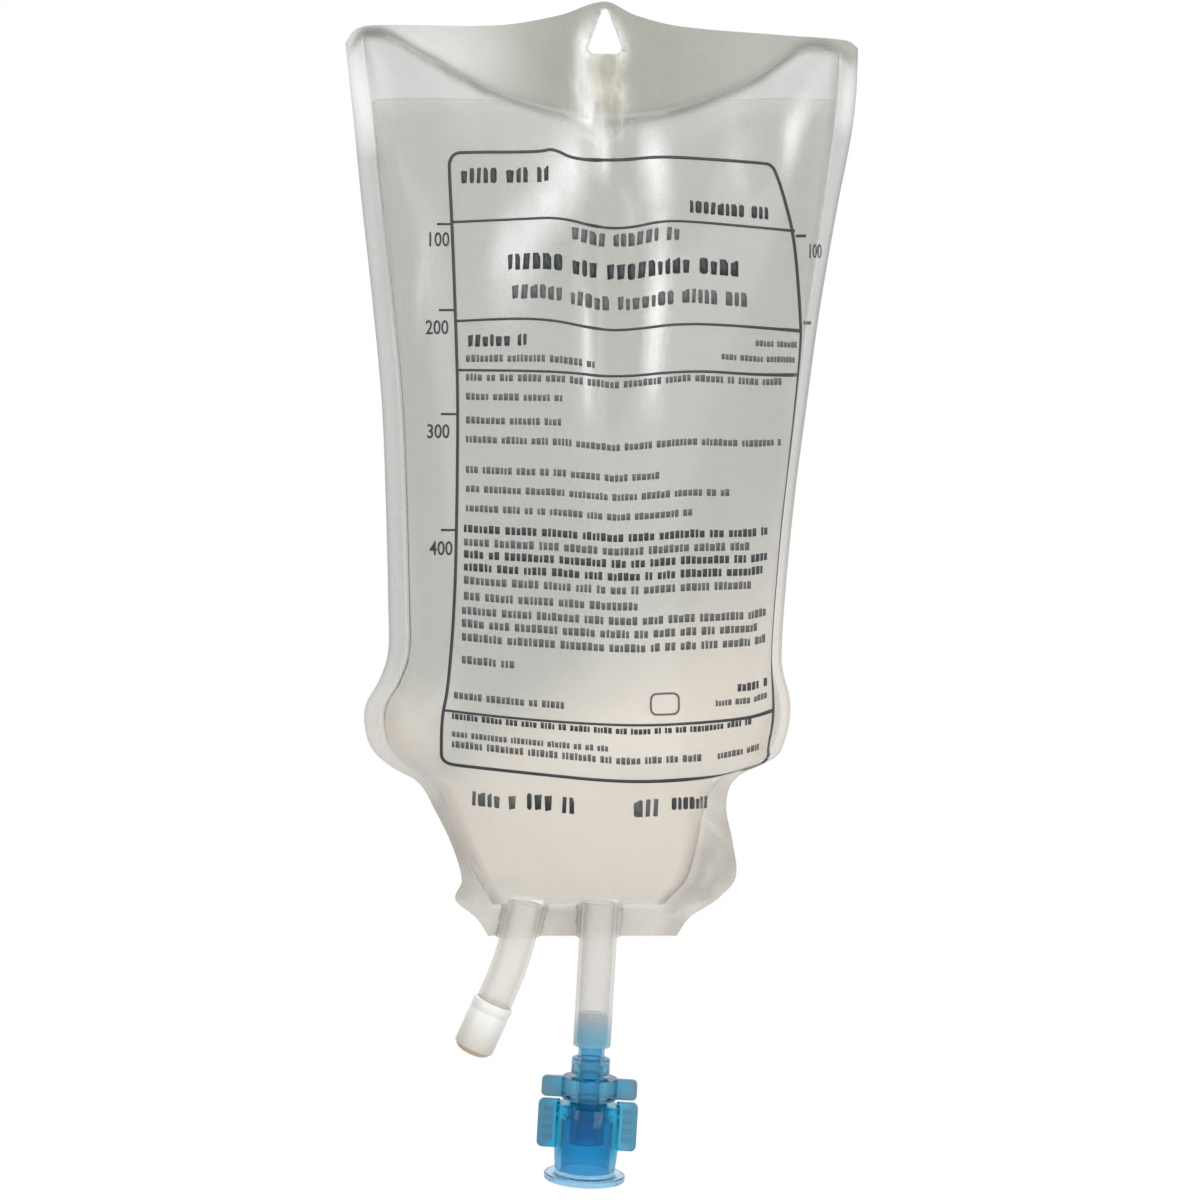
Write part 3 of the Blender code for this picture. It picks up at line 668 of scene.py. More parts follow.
BACK_CREASES = strokes(
    (((604, 110), (600, 200), (606, 380)), 4.5, -1.0),
    (((560, 118), (552, 200), (548, 330)), 4.5, 0.6),
    (((655, 122), (664, 210), (668, 360)), 4.5, 0.7),
    (((480, 100), (490, 180), (500, 280)), 4.0, -0.5),
    (((740, 96), (735, 180), (728, 280)), 4.0, -0.5),
    (((400, 700), (450, 730), (500, 790)), 4.0, 1.0),
    (((780, 710), (740, 760), (700, 810)), 4.0, 1.0),
    (((480, 800), (500, 850), (510, 895)), 3.0, -0.9),
    (((690, 800), (660, 850), (640, 900)), 3.0, -0.9),
)
SLAB_CREASES = strokes(
    (((602, 40), (602, 75), (603, 130)), 5.5, 0.8),
    (((578, 60), (603, 92), (628, 62)), 1.1, -0.35),
    (((580, 78), (603, 108), (627, 80)), 1.0, 0.3),
    (((590, 92), (604, 118), (620, 94)), 0.9, -0.25),
    (((400, 45), (450, 70), (520, 95)), 3.0, 0.5),
    (((830, 60), (780, 78), (690, 100)), 3.0, 0.5),
    (((500, 35), (530, 60), (560, 100)), 3.4, -0.5),
    (((650, 35), (668, 60), (660, 105)), 3.4, -0.5),
    (((690, 895), (715, 860), (737, 850)), 2.5, 0.9),
    (((676, 905), (700, 925), (680, 935)), 2.2, -0.7),
    (((700, 820), (722, 850), (712, 900)), 2.4, -0.9),
    (((462, 915), (500, 922), (540, 915)), 1.8, 0.5),
)

# Painted highlights, painted shade and clear strokes on the film, whose heights are shares

# Painted highlights: pale strokes on the film where lamps would shine off it
PAINTED_HIGHLIGHTS = strokes(
    (((596, 104), (577, 145), (560, 190), (532, 240), (512, 295), (508, 352)), 6.4, 0.85),
    (((520, 195), (506, 230), (498, 290)), 3.6, 0.30),
    (((588, 280), (588, 350), (589, 436)), 1.8, 0.75),
    (((650, 125), (656, 180), (659, 235)), 4.4, 0.95),
    (((660, 215), (658, 290), (653, 350), (648, 436)), 3.0, 0.90),
    (((615, 180), (628, 215), (636, 260)), 2.0, 0.40),
    (((724, 100), (734, 145), (740, 215)), 5.5, 0.42),
    (((806, 85), (790, 135), (784, 190)), 3.2, 0.75),
    (((838, 100), (826, 150), (821, 200), (818, 240)), 2.0, 0.25),
    (((432, 225), (426, 290), (420, 380)), 2.6, 0.50),
    (((372, 95), (386, 190), (398, 330)), 1.3, 0.40),
    (((596, 12), (584, 40), (581, 85), (586, 132)), 1.9, 0.85),
    (((610, 14), (620, 40), (624, 68)), 1.2, 0.65),
    (((624, 78), (623, 110), (619, 150)), 0.8, 0.35),
    (((588, 150), (580, 200), (562, 255)), 3.0, 0.22),
    (((598, 112), (602, 150), (604, 195)), 2.0, 0.65),
    (((380, 36), (450, 52), (520, 66)), 6.5, 0.22),
    (((700, 640), (712, 680), (706, 730)), 5.5, 0.16),
    (((470, 905), (500, 880), (528, 868)), 1.6, 0.24),
    (((600, 870), (640, 855), (680, 835)), 6.0, 0.18),
    (((466, 852), (482, 872), (490, 900)), 1.0, 0.45),
    (((722, 843), (710, 880), (696, 905)), 1.2, 0.60),
    (((696, 812), (714, 830), (730, 850)), 1.0, 0.50),
)
# Painted shade: darker strokes over the film's folds, creases and edges
PAINTED_SHADES = strokes(
    (((604, 205), (600, 260), (604, 345)), 3.4, 0.75),
    (((702, 180), (705, 215), (700, 250)), 3.0, 0.50),
    (((440, 112), (470, 150), (490, 200)), 5.0, 0.60),
    (((540, 350), (545, 380), (540, 420)), 4.0, 0.40),
    (((735, 812), (716, 860), (690, 905)), 4.5, 0.95),
    (((590, 925), (620, 928), (650, 926)), 2.0, 0.30),
    (((462, 830), (474, 860), (484, 892)), 3.0, 0.60),
    (((745, 850), (732, 872), (715, 890)), 2.4, 0.80),
    (((688, 830), (700, 858), (696, 885)), 1.6, 0.70),
    (((452, 825), (464, 850), (474, 880)), 1.0, 0.60),
    (((786, 400), (783, 500), (776, 600)), 3.4, 0.95),
    (((598, 405), (618, 455), (634, 510)), 7.0, 0.90),
    (((480, 160), (494, 195), (490, 235)), 3.0, 0.50),
    (((826, 240), (822, 300), (814, 380)), 2.4, 0.90),
)
CLEARINGS = strokes(
    (((346, 40), (358, 70), (366, 110), (374, 160)), 3.6, 1.0),
    (((850, 66), (846, 100), (842, 140)), 1.8, 0.8),
)


@dataclass(frozen=True)
class Tubes:
    """Axes and diameters of the two port tubes."""

    supply_x: float = -1.2 * MM
    supply_tilt: float = math.radians(3.3)
    supply_diameter: float = 9.4 * MM
    supply_length: float = 35.4 * MM
    site_x: float = -19.6 * MM
    site_tilt: float = math.radians(14.0)
    site_bend: float = math.radians(10.5)
    site_diameter: float = 9.0 * MM
    site_root: float = 8.5 * MM
    site_bend_length: float = 14.0 * MM
    site_end: float = 14.5 * MM
    entry: float = 0.6 * MM
    wall: float = 0.9 * MM
    clearance: float = 0.8 * MM


@dataclass(frozen=True)
class BagForm:
    """Surfaces of the filled bag, from the part's own sizes, with the film's creases on top."""

    width: float = 126.8 * MM
    drop: float = 228.8 * MM
    offset: float = -1.2 * MM
    film: float = 0.4 * MM
    side_weld: float = 4.5 * MM
    bottom_weld: float = 7.8 * MM
    dip: float = 27.4 * MM
    edge_drop: float = 4.0 * MM
    front_depth: float = 26.5 * MM
    back_depth: float = 24.5 * MM
    depth_rise: float = 38.0 * MM
    foot_height: float = 42.0 * MM
    twist: float = math.radians(12.0)
    pleat_depth: float = 2.8 * MM
    pleat_width: float = 5.5 * MM
    pleat_x: float = 1.6 * MM
    pleat_end: float = 110.0 * MM
    crease_depth: float = 4.0 * MM
    tubes: Tubes = Tubes()

    def foot_z(self) -> float:
        """Height of the upper line of the bottom weld."""
        return self.bottom_weld - self.drop

    def chamber_share(self, across: Array) -> Array:
        """Share of half the bag's width at a share of half the chamber's width."""
        return (1 - 2 * self.side_weld / self.width) * across

    def weld_z(self, share: Array) -> Array:
        """Height of the weld between hanger and chamber."""
        return -self.dip * through(HANGER_WELD, share)

    def top_z(self, share: Array) -> Array:
        """Height of the film's top edge."""
        return -self.edge_drop * through(TOP_EDGE, share)

    def edges(self, z: Array) -> tuple[Array, Array]:
        """Edges of the chamber.

        Args:
            z: Heights.

        Returns:
            The left and the right edge at each height.
        """
        half = self.width / 2
        left = half * through(LEFT_SIDE, -z / self.drop) + self.offset
        return left, half * through(RIGHT_SIDE, -z / self.drop) + self.offset

    def middle_y(self, x: Array, z: Array) -> Array:
        """Depth of the weld plane, which twists round the bag's length.

        Args:
            x: Places across.
            z: Heights.

        Returns:
            The depth, with the creases that both films share.
        """
        left, right = self.edges(z)
        turn = math.tan(self.twist) * through(TWIST_SHARE, -z / self.drop)
        slab = sum(crease.raised(x, z) for crease in SLAB_CREASES)
        return turn * (x - (left + right) / 2) - slab

    def chamber_x(self, across: Array, z: Array, inset: float = 0.0) -> Array:
        """Place across the chamber, for a share from -1 at its left edge to 1 at its right."""
        left, right = self.edges(z)
        return (left + right) / 2 + ((right - left) / 2 - inset) * across

    def across(self, x: Array, z: Array) -> Array:
        """Share of half the chamber's width at a place."""
        left, right = self.edges(z)
        return (x - (left + right) / 2) / ((right - left) / 2)

    def channel(self, x: Array, z: Array) -> Array:
        """Half-round channels round the two tubes.

        Args:
            x: Places across.
            z: Heights.

        Returns:
            Depth of the channel at each place, 0 beside the tubes and above them.
        """
        tubes = self.tubes
        depth = np.zeros(np.shape(x))
        ports = (
            (tubes.supply_x, tubes.supply_tilt, tubes.supply_diameter),
            (tubes.site_x, tubes.site_tilt, tubes.site_diameter),
        )
        for root, tilt, diameter in ports:
            away = (x - root) * math.cos(tilt) - (z - self.foot_z()) * math.sin(tilt)
            radius = diameter / 2 + tubes.clearance
            depth = np.maximum(depth, np.sqrt(np.maximum(radius**2 - away**2, 0.0)))
        below = z <= self.foot_z() + tubes.entry + 2 * tubes.clearance
        return np.where(below, depth, 0.0)

    def depth(self, x: Array, z: Array, across: Array, face: Face) -> Array:
        """Distance from the weld plane to the inner face of a film.

        Args:
            x: Places across.
            z: Heights.
            across: Shares of half the chamber's width at those places.
            face: Front or back film.

        Returns:
            The distance at each place.
        """
        across = np.clip(across, -1.0, 1.0)
        below = np.maximum(self.weld_z(self.chamber_share(across)) - z, 0.0)
        rise = (1 - np.exp(-below / self.depth_rise)) ** 0.85
        above = np.clip((z - self.foot_z()) / self.foot_height, 0.0, 1.0)
        foot = (1 - (1 - above) ** 2) ** 0.6
        full = rise * foot * np.sqrt(np.maximum(1 - across**2, 0.0))
        if face is Face.FRONT:
            depth = full * self.front_depth
            fade = np.clip((z + self.pleat_end) / (self.pleat_end - self.dip), 0.0, 1.0)
            pleat = self.pleat_depth * fade * np.exp(-(((x - self.pleat_x) / self.pleat_width) ** 2))
            depth = depth - np.minimum(pleat, 0.6 * depth)
            creases = FRONT_CREASES
        else:
            depth = full * self.back_depth
            creases = BACK_CREASES
        raised = sum(crease.raised(x, z) for crease in creases)
        depth = depth + raised * np.clip(depth / self.crease_depth, 0.0, 1.0)
        return np.maximum(depth, self.channel(x, z))

    def front_y(self, x: Array, z: Array) -> Array:
        """Depth of the front film's outer face.

        Args:
            x: Places across.
            z: Heights.

        Returns:
            The depth, which runs on along the folded flange past the chamber's right edge.
        """
        left, right = self.edges(z)
        inside = np.clip(x, left, right)
        depth = self.depth(inside, z, self.across(inside, z), Face.FRONT)
        fold = np.radians(through(RIGHT_SIDE, -z / self.drop, 3))
        past = np.maximum(x - right, 0.0) * np.tan(fold)
        return self.middle_y(inside, z) + past - depth - self.film

    def front_normal(self, x: Array, z: Array) -> Array:
        """Way that the front film's outer face looks.

        Args:
            x: Places across.
            z: Heights.

        Returns:
            Rows of unit vectors.
        """
        step = 0.2 * MM
        slope_x = (self.front_y(x + step, z) - self.front_y(x - step, z)) / (2 * step)
        slope_z = (self.front_y(x, z + step) - self.front_y(x, z - step)) / (2 * step)
        normal = np.stack([slope_x, -np.ones(np.shape(x)), slope_z], axis=-1)
        return normal / np.linalg.norm(normal, axis=-1, keepdims=True)

    def down_axis(self, root: float, tilt: float, length: float) -> Vector:
        """Point this far down a port's axis from the bottom weld's upper line."""
        return Vector((root - length * math.sin(tilt), 0.0, self.foot_z() - length * math.cos(tilt)))


FORM = BagForm()


# Mesh tools


def linked(name: str, data: bpy.types.ID) -> bpy.types.Object:
    """Makes an object of its data in the scene.

    Args:
        name: Name of the object.
        data: Its mesh, text, camera or lamp.

    Returns:
        The object.
    """
    made = bpy.data.objects.new(name, data)
    bpy.context.scene.collection.objects.link(made)
    return made


def aimed(target: bpy.types.Object, place: Sequence[float], aim: Sequence[float]) -> None:
    """Puts the camera or a lamp at a place and turns it to look at another."""
    target.location = place
    target.rotation_euler = (Vector(aim) - Vector(place)).to_track_quat("-Z", "Y").to_euler()


def new_object(name: str, mesh: bpy.types.Mesh, finish: Finish, sharp: float = 40.0) -> bpy.types.Object:
    """Links a mesh as a smooth object with its finish.

    Args:
        name: Name of the object.
        mesh: Its mesh.
        finish: Its material.
        sharp: Edges sharper than this many degrees stay sharp.

    Returns:
        The object.
    """
    made = linked(name, mesh)
    mesh.materials.clear()
    mesh.materials.append(finish.material())
    smoothed(made, sharp)
    return made


def smoothed(target: bpy.types.Object, sharp: float) -> None:
    """Shades a piece smooth, but for edges sharper than this many degrees."""
    target.data.shade_smooth()
    target.data.set_sharp_from_angle(angle=math.radians(sharp))


def set_mask(mesh: bpy.types.Mesh, name: str, values: Array) -> None:
    """Stores a mask on a mesh's points."""
    mask = mesh.attributes.get(name) or mesh.attributes.new(name, "FLOAT", "POINT")
    mask.data.foreach_set("value", np.asarray(values, dtype=np.float32).ravel())


def points_of(mesh: bpy.types.Mesh) -> Array:
    """Places of a mesh's points.

    Args:
        mesh: The mesh.

    Returns:
        Rows of X, Y and Z.
    """
    flat = np.empty(len(mesh.vertices) * 3, dtype=np.float32)
    mesh.vertices.foreach_get("co", flat)
    return flat.reshape(-1, 3).astype(float)


def mesh_from(
    name: str, points: Array, faces: Sequence[Sequence[int]], masks: Mapping[str, Array] | None = None
) -> bpy.types.Mesh:
    """Makes a closed mesh of points and faces, with its faces looking outwards.

    Args:
        name: Name of the mesh.
        points: Rows of X, Y and Z.
        faces: Numbers of each face's points, which may repeat where a face comes to a point.
        masks: Masks over the points, by name.

    Returns:
        The mesh, without points that no face uses.
    """
    kept = []
    for face in faces:
        corners = [corner for place, corner in enumerate(face) if corner != face[place - 1]]
        if len(set(corners)) >= 3:
            kept.append(corners)
    mesh = bpy.data.meshes.new(name)
    mesh.from_pydata(points.tolist(), [], kept)
    for mask, values in (masks or {}).items():
        set_mask(mesh, mask, values)
    form = bmesh.new()
    form.from_mesh(mesh)
    loose = [vert for vert in form.verts if not vert.link_faces]
    bmesh.ops.delete(form, geom=loose, context="VERTS")
    bmesh.ops.recalc_face_normals(form, faces=form.faces)
    form.to_mesh(mesh)
    form.free()
    return mesh


def apply_modifiers(target: bpy.types.Object) -> None:
    """Applies an object's modifiers.

    Args:
        target: The object, whose mesh is replaced.
    """
    bpy.context.view_layer.update()
    view = bpy.context.evaluated_depsgraph_get()
    shown = target.evaluated_get(view)
    mesh = bpy.data.meshes.new_from_object(shown, preserve_all_data_layers=True, depsgraph=view)
    old = target.data
    target.modifiers.clear()
    target.data = mesh
    mesh.name = target.name
    bpy.data.meshes.remove(old)


class Operation(Enum):
    """Ways to combine one solid with another."""

    JOIN = "UNION"
    CUT = "DIFFERENCE"


def combine(target: bpy.types.Object, other: bpy.types.Object, operation: Operation) -> None:
    """Joins or cuts an object by another, which is then removed.

    Args:
        target: The object that stays.
        other: The object that joins or cuts it.
        operation: Whether it joins or cuts.
    """
    boolean = target.modifiers.new(other.name, "BOOLEAN")
    boolean.object = other
    boolean.operation = operation.value
    boolean.solver = "EXACT"
    apply_modifiers(target)
    bpy.data.meshes.remove(other.data)


def banded(rings: int, count: int, closed: bool = False) -> list[tuple[int, ...]]:
    """Joins neighbouring rings of points by faces.

    Args:
        rings: Number of rings.
        count: Points in each ring.
        closed: Whether the last ring joins the first.

    Returns:
        Numbers of each face's points.
    """
    faces = []
    for ring in range(rings if closed else rings - 1):
        here, following = ring * count, (ring + 1) % rings * count
        for step in range(count):
            after = (step + 1) % count
            faces.append((here + step, here + after, following + after, following + step))
    return faces


def cells(rows: int, columns: int) -> list[tuple[tuple[int, int], ...]]:
    """Corners of each cell of a grid, by the numbers of their rows and columns."""
    corners = [(r, c) for r in range(rows - 1) for c in range(columns - 1)]
    return [((r, c), (r + 1, c), (r + 1, c + 1), (r, c + 1)) for r, c in corners]


def turned(name: str, profile: Sequence[Point2], finish: Finish, steps: int = 72) -> bpy.types.Object:
    """Turns a closed profile about Z.

    Args:
        name: Name of the object.
        profile: Points of (radius, depth), the depth down from the axis's origin.
        finish: Its material.
        steps: Steps round the axis.

    Returns:
        The object, with its axis on Z.
    """
    closed = profile[0][0] > 0.0
    points, rings = [], []
    for radius, depth in profile:
        if radius <= 0.0:
            rings.append([len(points)] * steps)
            points.append((0.0, 0.0, -depth))
            continue
        rings.append(list(range(len(points), len(points) + steps)))
        turns = (2 * math.pi * step / steps for step in range(steps))
        points.extend((radius * math.cos(turn), radius * math.sin(turn), -depth) for turn in turns)
    pairs = list(zip(rings, rings[1:])) + ([(rings[-1], rings[0])] if closed else [])
    faces = []
    for upper, lower in pairs:
        for step in range(steps):
            after = (step + 1) % steps
            faces.append((upper[step], upper[after], lower[after], lower[step]))
    return new_object(name, mesh_from(name, np.array(points), faces), finish)


def rounded(corners: Sequence[tuple[float, float, float]], steps: int = 6) -> list[Point2]:
    """Outline through corners, each rounded by its own radius.

    Args:
        corners: Rows of X, Y and radius.
        steps: Steps round each corner.

    Returns:
        The outline's points.
    """
    points = []
    for index, (x, y, radius) in enumerate(corners):
        corner = Vector((x, y))
        last = (Vector(corners[index - 1][:2]) - corner).normalized()
        following = (Vector(corners[(index + 1) % len(corners)][:2]) - corner).normalized()
        half = last.angle(following) / 2
        centre = corner + (last + following).normalized() * radius / math.sin(half)
        setback = radius / math.tan(half)
        start, end = corner + last * setback - centre, corner + following * setback - centre
        for step in range(steps + 1):
            share = step / steps
            way = Vector((*start, 0.0)).slerp(Vector((*end, 0.0)), share).normalized() * radius
            points.append((centre.x + way.x, centre.y + way.y))
    return points


def plate(name: str, outline: Sequence[Point2], thickness: float, finish: Finish) -> bpy.types.Object:
    """Upright plate about Y.

    Args:
        name: Name of the object.
        outline: Its outline in X and Z.
        thickness: Its thickness in Y.
        finish: Its material.

    Returns:
        The plate.
    """
    count = len(outline)
    points = [(x, side * thickness / 2, z) for side in (-1, 1) for x, z in outline]
    faces = [tuple(range(count)), tuple(range(2 * count - 1, count - 1, -1)), *banded(2, count)]
    return new_object(name, mesh_from(name, np.array(points), faces), finish)


def block(
    name: str, low: Point2, high: Point2, half: float, corner: float, soft: float, finish: Finish
) -> bpy.types.Object:
    """Upright block with rounded outer corners and softened edges.

    Args:
        name: Name of the object.
        low: Inner X and lower Z.
        high: Outer X and upper Z.
        half: Half its thickness in Y.
        corner: Radius of its two outer corners.
        soft: Radius of its edges.
        finish: Its material.

    Returns:
        The block.
    """
    side = 1.0 if high[0] > low[0] else -1.0
    steps, inner, least = 3, 0.05 * MM, 0.02 * MM
    rings = []
    for step in range(steps + 1):
        turn = math.pi / 2 * step / steps
        rings.append((soft * (1 - math.sin(turn)), half - soft * (1 - math.cos(turn))))
    rings = [(inset, -y) for inset, y in rings] + [(inset, y) for inset, y in reversed(rings)]
    points: list[tuple[float, float, float]] = []
    for inset, y in rings:
        outer = max(corner - inset, least)
        near, far = low[0] + side * inset, high[0] - side * inset
        corners = [
            (near, low[1] + inset, inner),
            (far, low[1] + inset, outer),
            (far, high[1] - inset, outer),
            (near, high[1] - inset, inner),
        ]
        points += [(x, y, z) for x, z in rounded(corners)]
    count = len(points) // len(rings)
    faces = [tuple(range(count)), tuple(range(len(points) - 1, len(points) - count - 1, -1))]
    faces += banded(len(rings), count)
    return new_object(name, mesh_from(name, np.array(points), faces), finish)


def on_axis(target: bpy.types.Object, point: Vector, tilt: float) -> bpy.types.Object:
    """Moves a piece's mesh from Z to a port's axis."""
    target.data.transform(Matrix.Translation(point) @ Matrix.Rotation(tilt, 4, "Y"))
    return target


def finished(piece: bpy.types.Object, body: Body, slot: str | None, *nodes: str) -> bpy.types.Object:
    """Rides a piece on its body and hides the CAD nodes that it stands for.

    Args:
        piece: The piece.
        body: Body that it rides on.
        slot: Material slot of the record, if it has one; not used.
        nodes: CAD nodes that it replaces.

    Returns:
        The piece.
    """
    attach(piece, body.value)
    if nodes:
        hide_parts(*nodes)
    mesh = piece.data
    mesh.calc_loop_triangles()
    LOG.info("%s: %d triangles, on %s", piece.name, len(mesh.loop_triangles), body.value)
    return piece


# Camera, whose rays lay out the print


@dataclass(frozen=True)
class View:
    """Camera at the photograph's place, and the rays of the photograph's pixels."""

    eye: tuple[float, float, float] = (-1.2 * MM, -690.0 * MM, -120.6 * MM)
    aim: tuple[float, float, float] = (-1.2 * MM, 0.0, -145.3 * MM)
    frame_width: float = 297.1 * MM
    pixels: float = 1200.0
    sensor: float = 36.0

    def distance(self) -> float:
        """Distance from the eye to what it aims at."""
        return (Vector(self.aim) - Vector(self.eye)).length

    def rays(self, px: Array, py: Array) -> tuple[Array, Array, Array]:
        """Directions of the rays through pixels of the photograph.

        Args:
            px: Pixels across.
            py: Pixels down.

        Returns:
            Their X, Y and Z.
        """
        ahead = (Vector(self.aim) - Vector(self.eye)).normalized()
        right = Vector((1.0, 0.0, 0.0))
        up = right.cross(ahead)
        scale = self.frame_width / self.pixels / self.distance()
        u, v = (px - self.pixels / 2) * scale, (self.pixels / 2 - py) * scale
        return tuple(ahead[axis] + right[axis] * u + up[axis] * v for axis in range(3))

    def on_film(self, px: Array, py: Array, lift: float) -> Array:
        """Points of the front film behind pixels of the photograph.

        Args:
            px: Pixels across.
            py: Pixels down.
            lift: Height above the film.

        Returns:
            Rows of X, Y and Z.
        """
        px, py = np.asarray(px, dtype=float), np.asarray(py, dtype=float)
        way = self.rays(px, py)
        y = np.full(px.shape, -FORM.front_depth)
        for _ in range(14):
            t = (y - self.eye[1]) / way[1]
            x, z = self.eye[0] + t * way[0], self.eye[2] + t * way[2]
            y = 0.4 * y + 0.6 * FORM.front_y(x, z)
        return np.stack([x, FORM.front_y(x, z) - lift, z], axis=-1)

    def build(self) -> None:
        """Makes the camera."""
        data = bpy.data.cameras.new("camera")
        data.sensor_width = self.sensor
        data.lens = self.sensor * self.distance() / self.frame_width
        data.clip_start = 0.01
        camera = linked("camera", data)
        aimed(camera, self.eye, self.aim)
        bpy.context.scene.camera = camera


VIEW = View()


# Sub-assemblies


@dataclass
class FilmPouch:
    """Two films welded into one pouch, with the hanger above and the skirt below.

    A span says where a mask begins and where it is full.
    """

    flange_columns: int = 5
    chamber_columns: int = 112
    hanger_rows: int = 20
    chamber_rows: int = 150
    skirt_rows: int = 8
    hole_height: float = 11.0 * MM
    hole_slope: float = math.radians(21.0)
    hole_corner: float = 1.6 * MM
    hole_tip: float = 0.8 * MM
    hole_depth: float = 12.0 * MM
    crowding: Span = (0.8, 0.2)
    touch: float = 1e-9
    sharp: float = 50.0
    weld_line: float = 1.4 * MM
    strip_x: float = -0.6 * MM
    strip_width: float = 6.6 * MM
    strip_foot: Span = (-46.0 * MM, -26.0 * MM)
    strip_head: Span = (-1.0 * MM, -9.0 * MM)
    low_from: Span = (-150.0 * MM, -190.0 * MM)
    flap_from: Span = (-186.0 * MM, -196.0 * MM)
    skirt_from: Span = (1.0 * MM, -2.0 * MM)
    tube_from: Span = (2.6 * MM, 4.0 * MM)
    beside_from: Span = (0.2 * MM, 1.6 * MM)
    shade_from: Span = (-42.0 * MM, -8.0 * MM)
    shade_fades: Span = (10.0 * MM, 40.0 * MM)

    def grid(self) -> dict[str, Array]:
        """Lays the grid's columns and rows over the two films.

        Returns:
            Arrays over rows and columns: x, y and z of the welds' plane, shares across the chamber, the
            flange and the whole bag, and the turn of the film about Z.
        """
        columns = self.chamber_columns + 2 * self.flange_columns
        rows = self.hanger_rows + self.chamber_rows + self.skirt_rows
        row, column = np.meshgrid(np.arange(rows + 1), np.arange(columns + 1), indexing="ij")
        inner = np.clip(column - self.flange_columns, 0, self.chamber_columns)
        flange = np.abs(column - self.flange_columns - inner) / self.flange_columns
        side = np.where(inner == 0, -1.0, 1.0)
        even = 2 * inner / self.chamber_columns - 1
        upper, lower = 0.8 * self.chamber_rows, 0.2 * self.chamber_rows
        foot = np.clip((row - self.hanger_rows - upper) / lower, 0, 1)
        close = crowded(even, self.crowding)
        across = close + (even - close) * foot
        share = FORM.chamber_share(across)
        share = share + (side - share) * flange
        top, weld = FORM.top_z(share), FORM.weld_z(share)
        down = eased(np.clip((row - self.hanger_rows) / self.chamber_rows, 0, 1))
        skirt = np.clip((row - self.hanger_rows - self.chamber_rows) / self.skirt_rows, 0, 1)
        up = np.clip(row / self.hanger_rows, 0, 1)
        z = top + (weld - top) * up
        z = np.where(row > self.hanger_rows, weld + (FORM.foot_z() - weld) * down, z)
        below = row > self.hanger_rows + self.chamber_rows
        z = np.where(below, FORM.foot_z() - FORM.bottom_weld * skirt, z)
        x = FORM.chamber_x(across, z)
        y = FORM.middle_y(x, z)
        turn = np.zeros(x.shape)
        for sign, table in ((-1.0, LEFT_SIDE), (1.0, RIGHT_SIDE)):
            on = (flange > 0) & (side == sign)
            edge = FORM.chamber_x(np.full(x.shape, sign), z)
            width = FORM.side_weld * through(table, -z / FORM.drop, 2) * flange
            fold = np.radians(through(table, -z / FORM.drop, 3))
            x = np.where(on, edge + sign * width * np.cos(fold), x)
            y = np.where(on, FORM.middle_y(edge, z) + width * np.sin(fold), y)
            turn = np.where(on, sign * fold * (1 + flange) / 2, turn)
        across = np.where(flange > 0, side, across)
        return {"x": x, "y": y, "z": z, "across": across, "flange": flange, "turn": turn, "share": share}

    def masks(self, grid: Mapping[str, Array]) -> dict[str, Array]:
        """Masks of the film's regions.

        Args:
            grid: The grid's arrays.

        Returns:
            The masks over the grid, by name.
        """
        x, z, share, flange = grid["x"], grid["z"], grid["share"], grid["flange"]
        channel, above = FORM.channel(x, z), z - FORM.weld_z(share)
        weld = np.exp(-((above / self.weld_line) ** 2)) * (1 - smooth(0.5, 1.0, flange))
        weld = weld * through(HANGER_WELD, share, 2)
        hanger = smooth(0.0, 1.0 * MM, above)
        bottom = smooth(*(FORM.foot_z() + height for height in self.skirt_from), z)
        # Painted dark outline along the film's outer edge, fainter low on the bag
        rim = smooth(0.75, 1.0, flange)
        strip = np.exp(-(((x - self.strip_x) / self.strip_width) ** 4))
        strip = strip * smooth(*self.strip_foot, z) * smooth(*self.strip_head, z)
        low = smooth(*self.low_from, z)
        seam = (0.6 + 0.1 * low) * smooth(0.95 - 0.13 * low, 1.0, np.abs(grid["across"]))
        sides = np.maximum(smooth(0.0, 0.2, flange), seam) * (1 - hanger)
        over_tubes = smooth(*self.tube_from, channel)
        # Painted highlight along both sides of each tube's channel
        beside = 0.32 * smooth(*self.beside_from, channel) * (1 - over_tubes) * bottom
        flap = np.maximum(bottom, sides * smooth(*self.flap_from, z)) * (1 - 0.9 * over_tubes)
        # Painted shade: the hanger darker towards its right
        shade = smooth(*self.shade_from, x) * hanger * (1 - 0.25 * smooth(*self.shade_fades, x))
        painted_shade, painted_highlight, bare = (
            sum(stroke.raised(x, z) for stroke in drawn) / MM for drawn in (PAINTED_SHADES, PAINTED_HIGHLIGHTS, CLEARINGS)
        )
        return {
            "weld": weld * (1 - 0.5 * low),
            "hanger": hanger,
            "flange": np.maximum(sides - flap, 0.0),
            "rim": rim * (1 - 0.75 * low),
            "strip": strip * (0.75 + 0.25 * hanger),
            "warm": warmth(x, z),
            "flap": flap,
            "painted_shade": np.clip(shade + painted_shade, 0.0, 1.0),
            "painted_highlight": np.clip(painted_highlight + beside, 0.0, 1.0),
            "bare": np.clip(bare + 0.9 * over_tubes, 0.0, 1.0),
        }

    def hole_cutter(self) -> bpy.types.Object:
        """Makes the cutter for the hanger hole, a drop shape with its tip at the origin.

        Returns:
            The cutter.
        """
        peak = self.hole_tip * (1 / math.sin(self.hole_slope) - 1)
        half = (self.hole_height + peak) * math.tan(self.hole_slope)
        corners = (
            (0.0, peak, self.hole_tip),
            (-half, -self.hole_height, self.hole_corner),
            (half, -self.hole_height, self.hole_corner),
        )
        return plate("hanger_hole", rounded(corners, 10), self.hole_depth, FilmFinish())

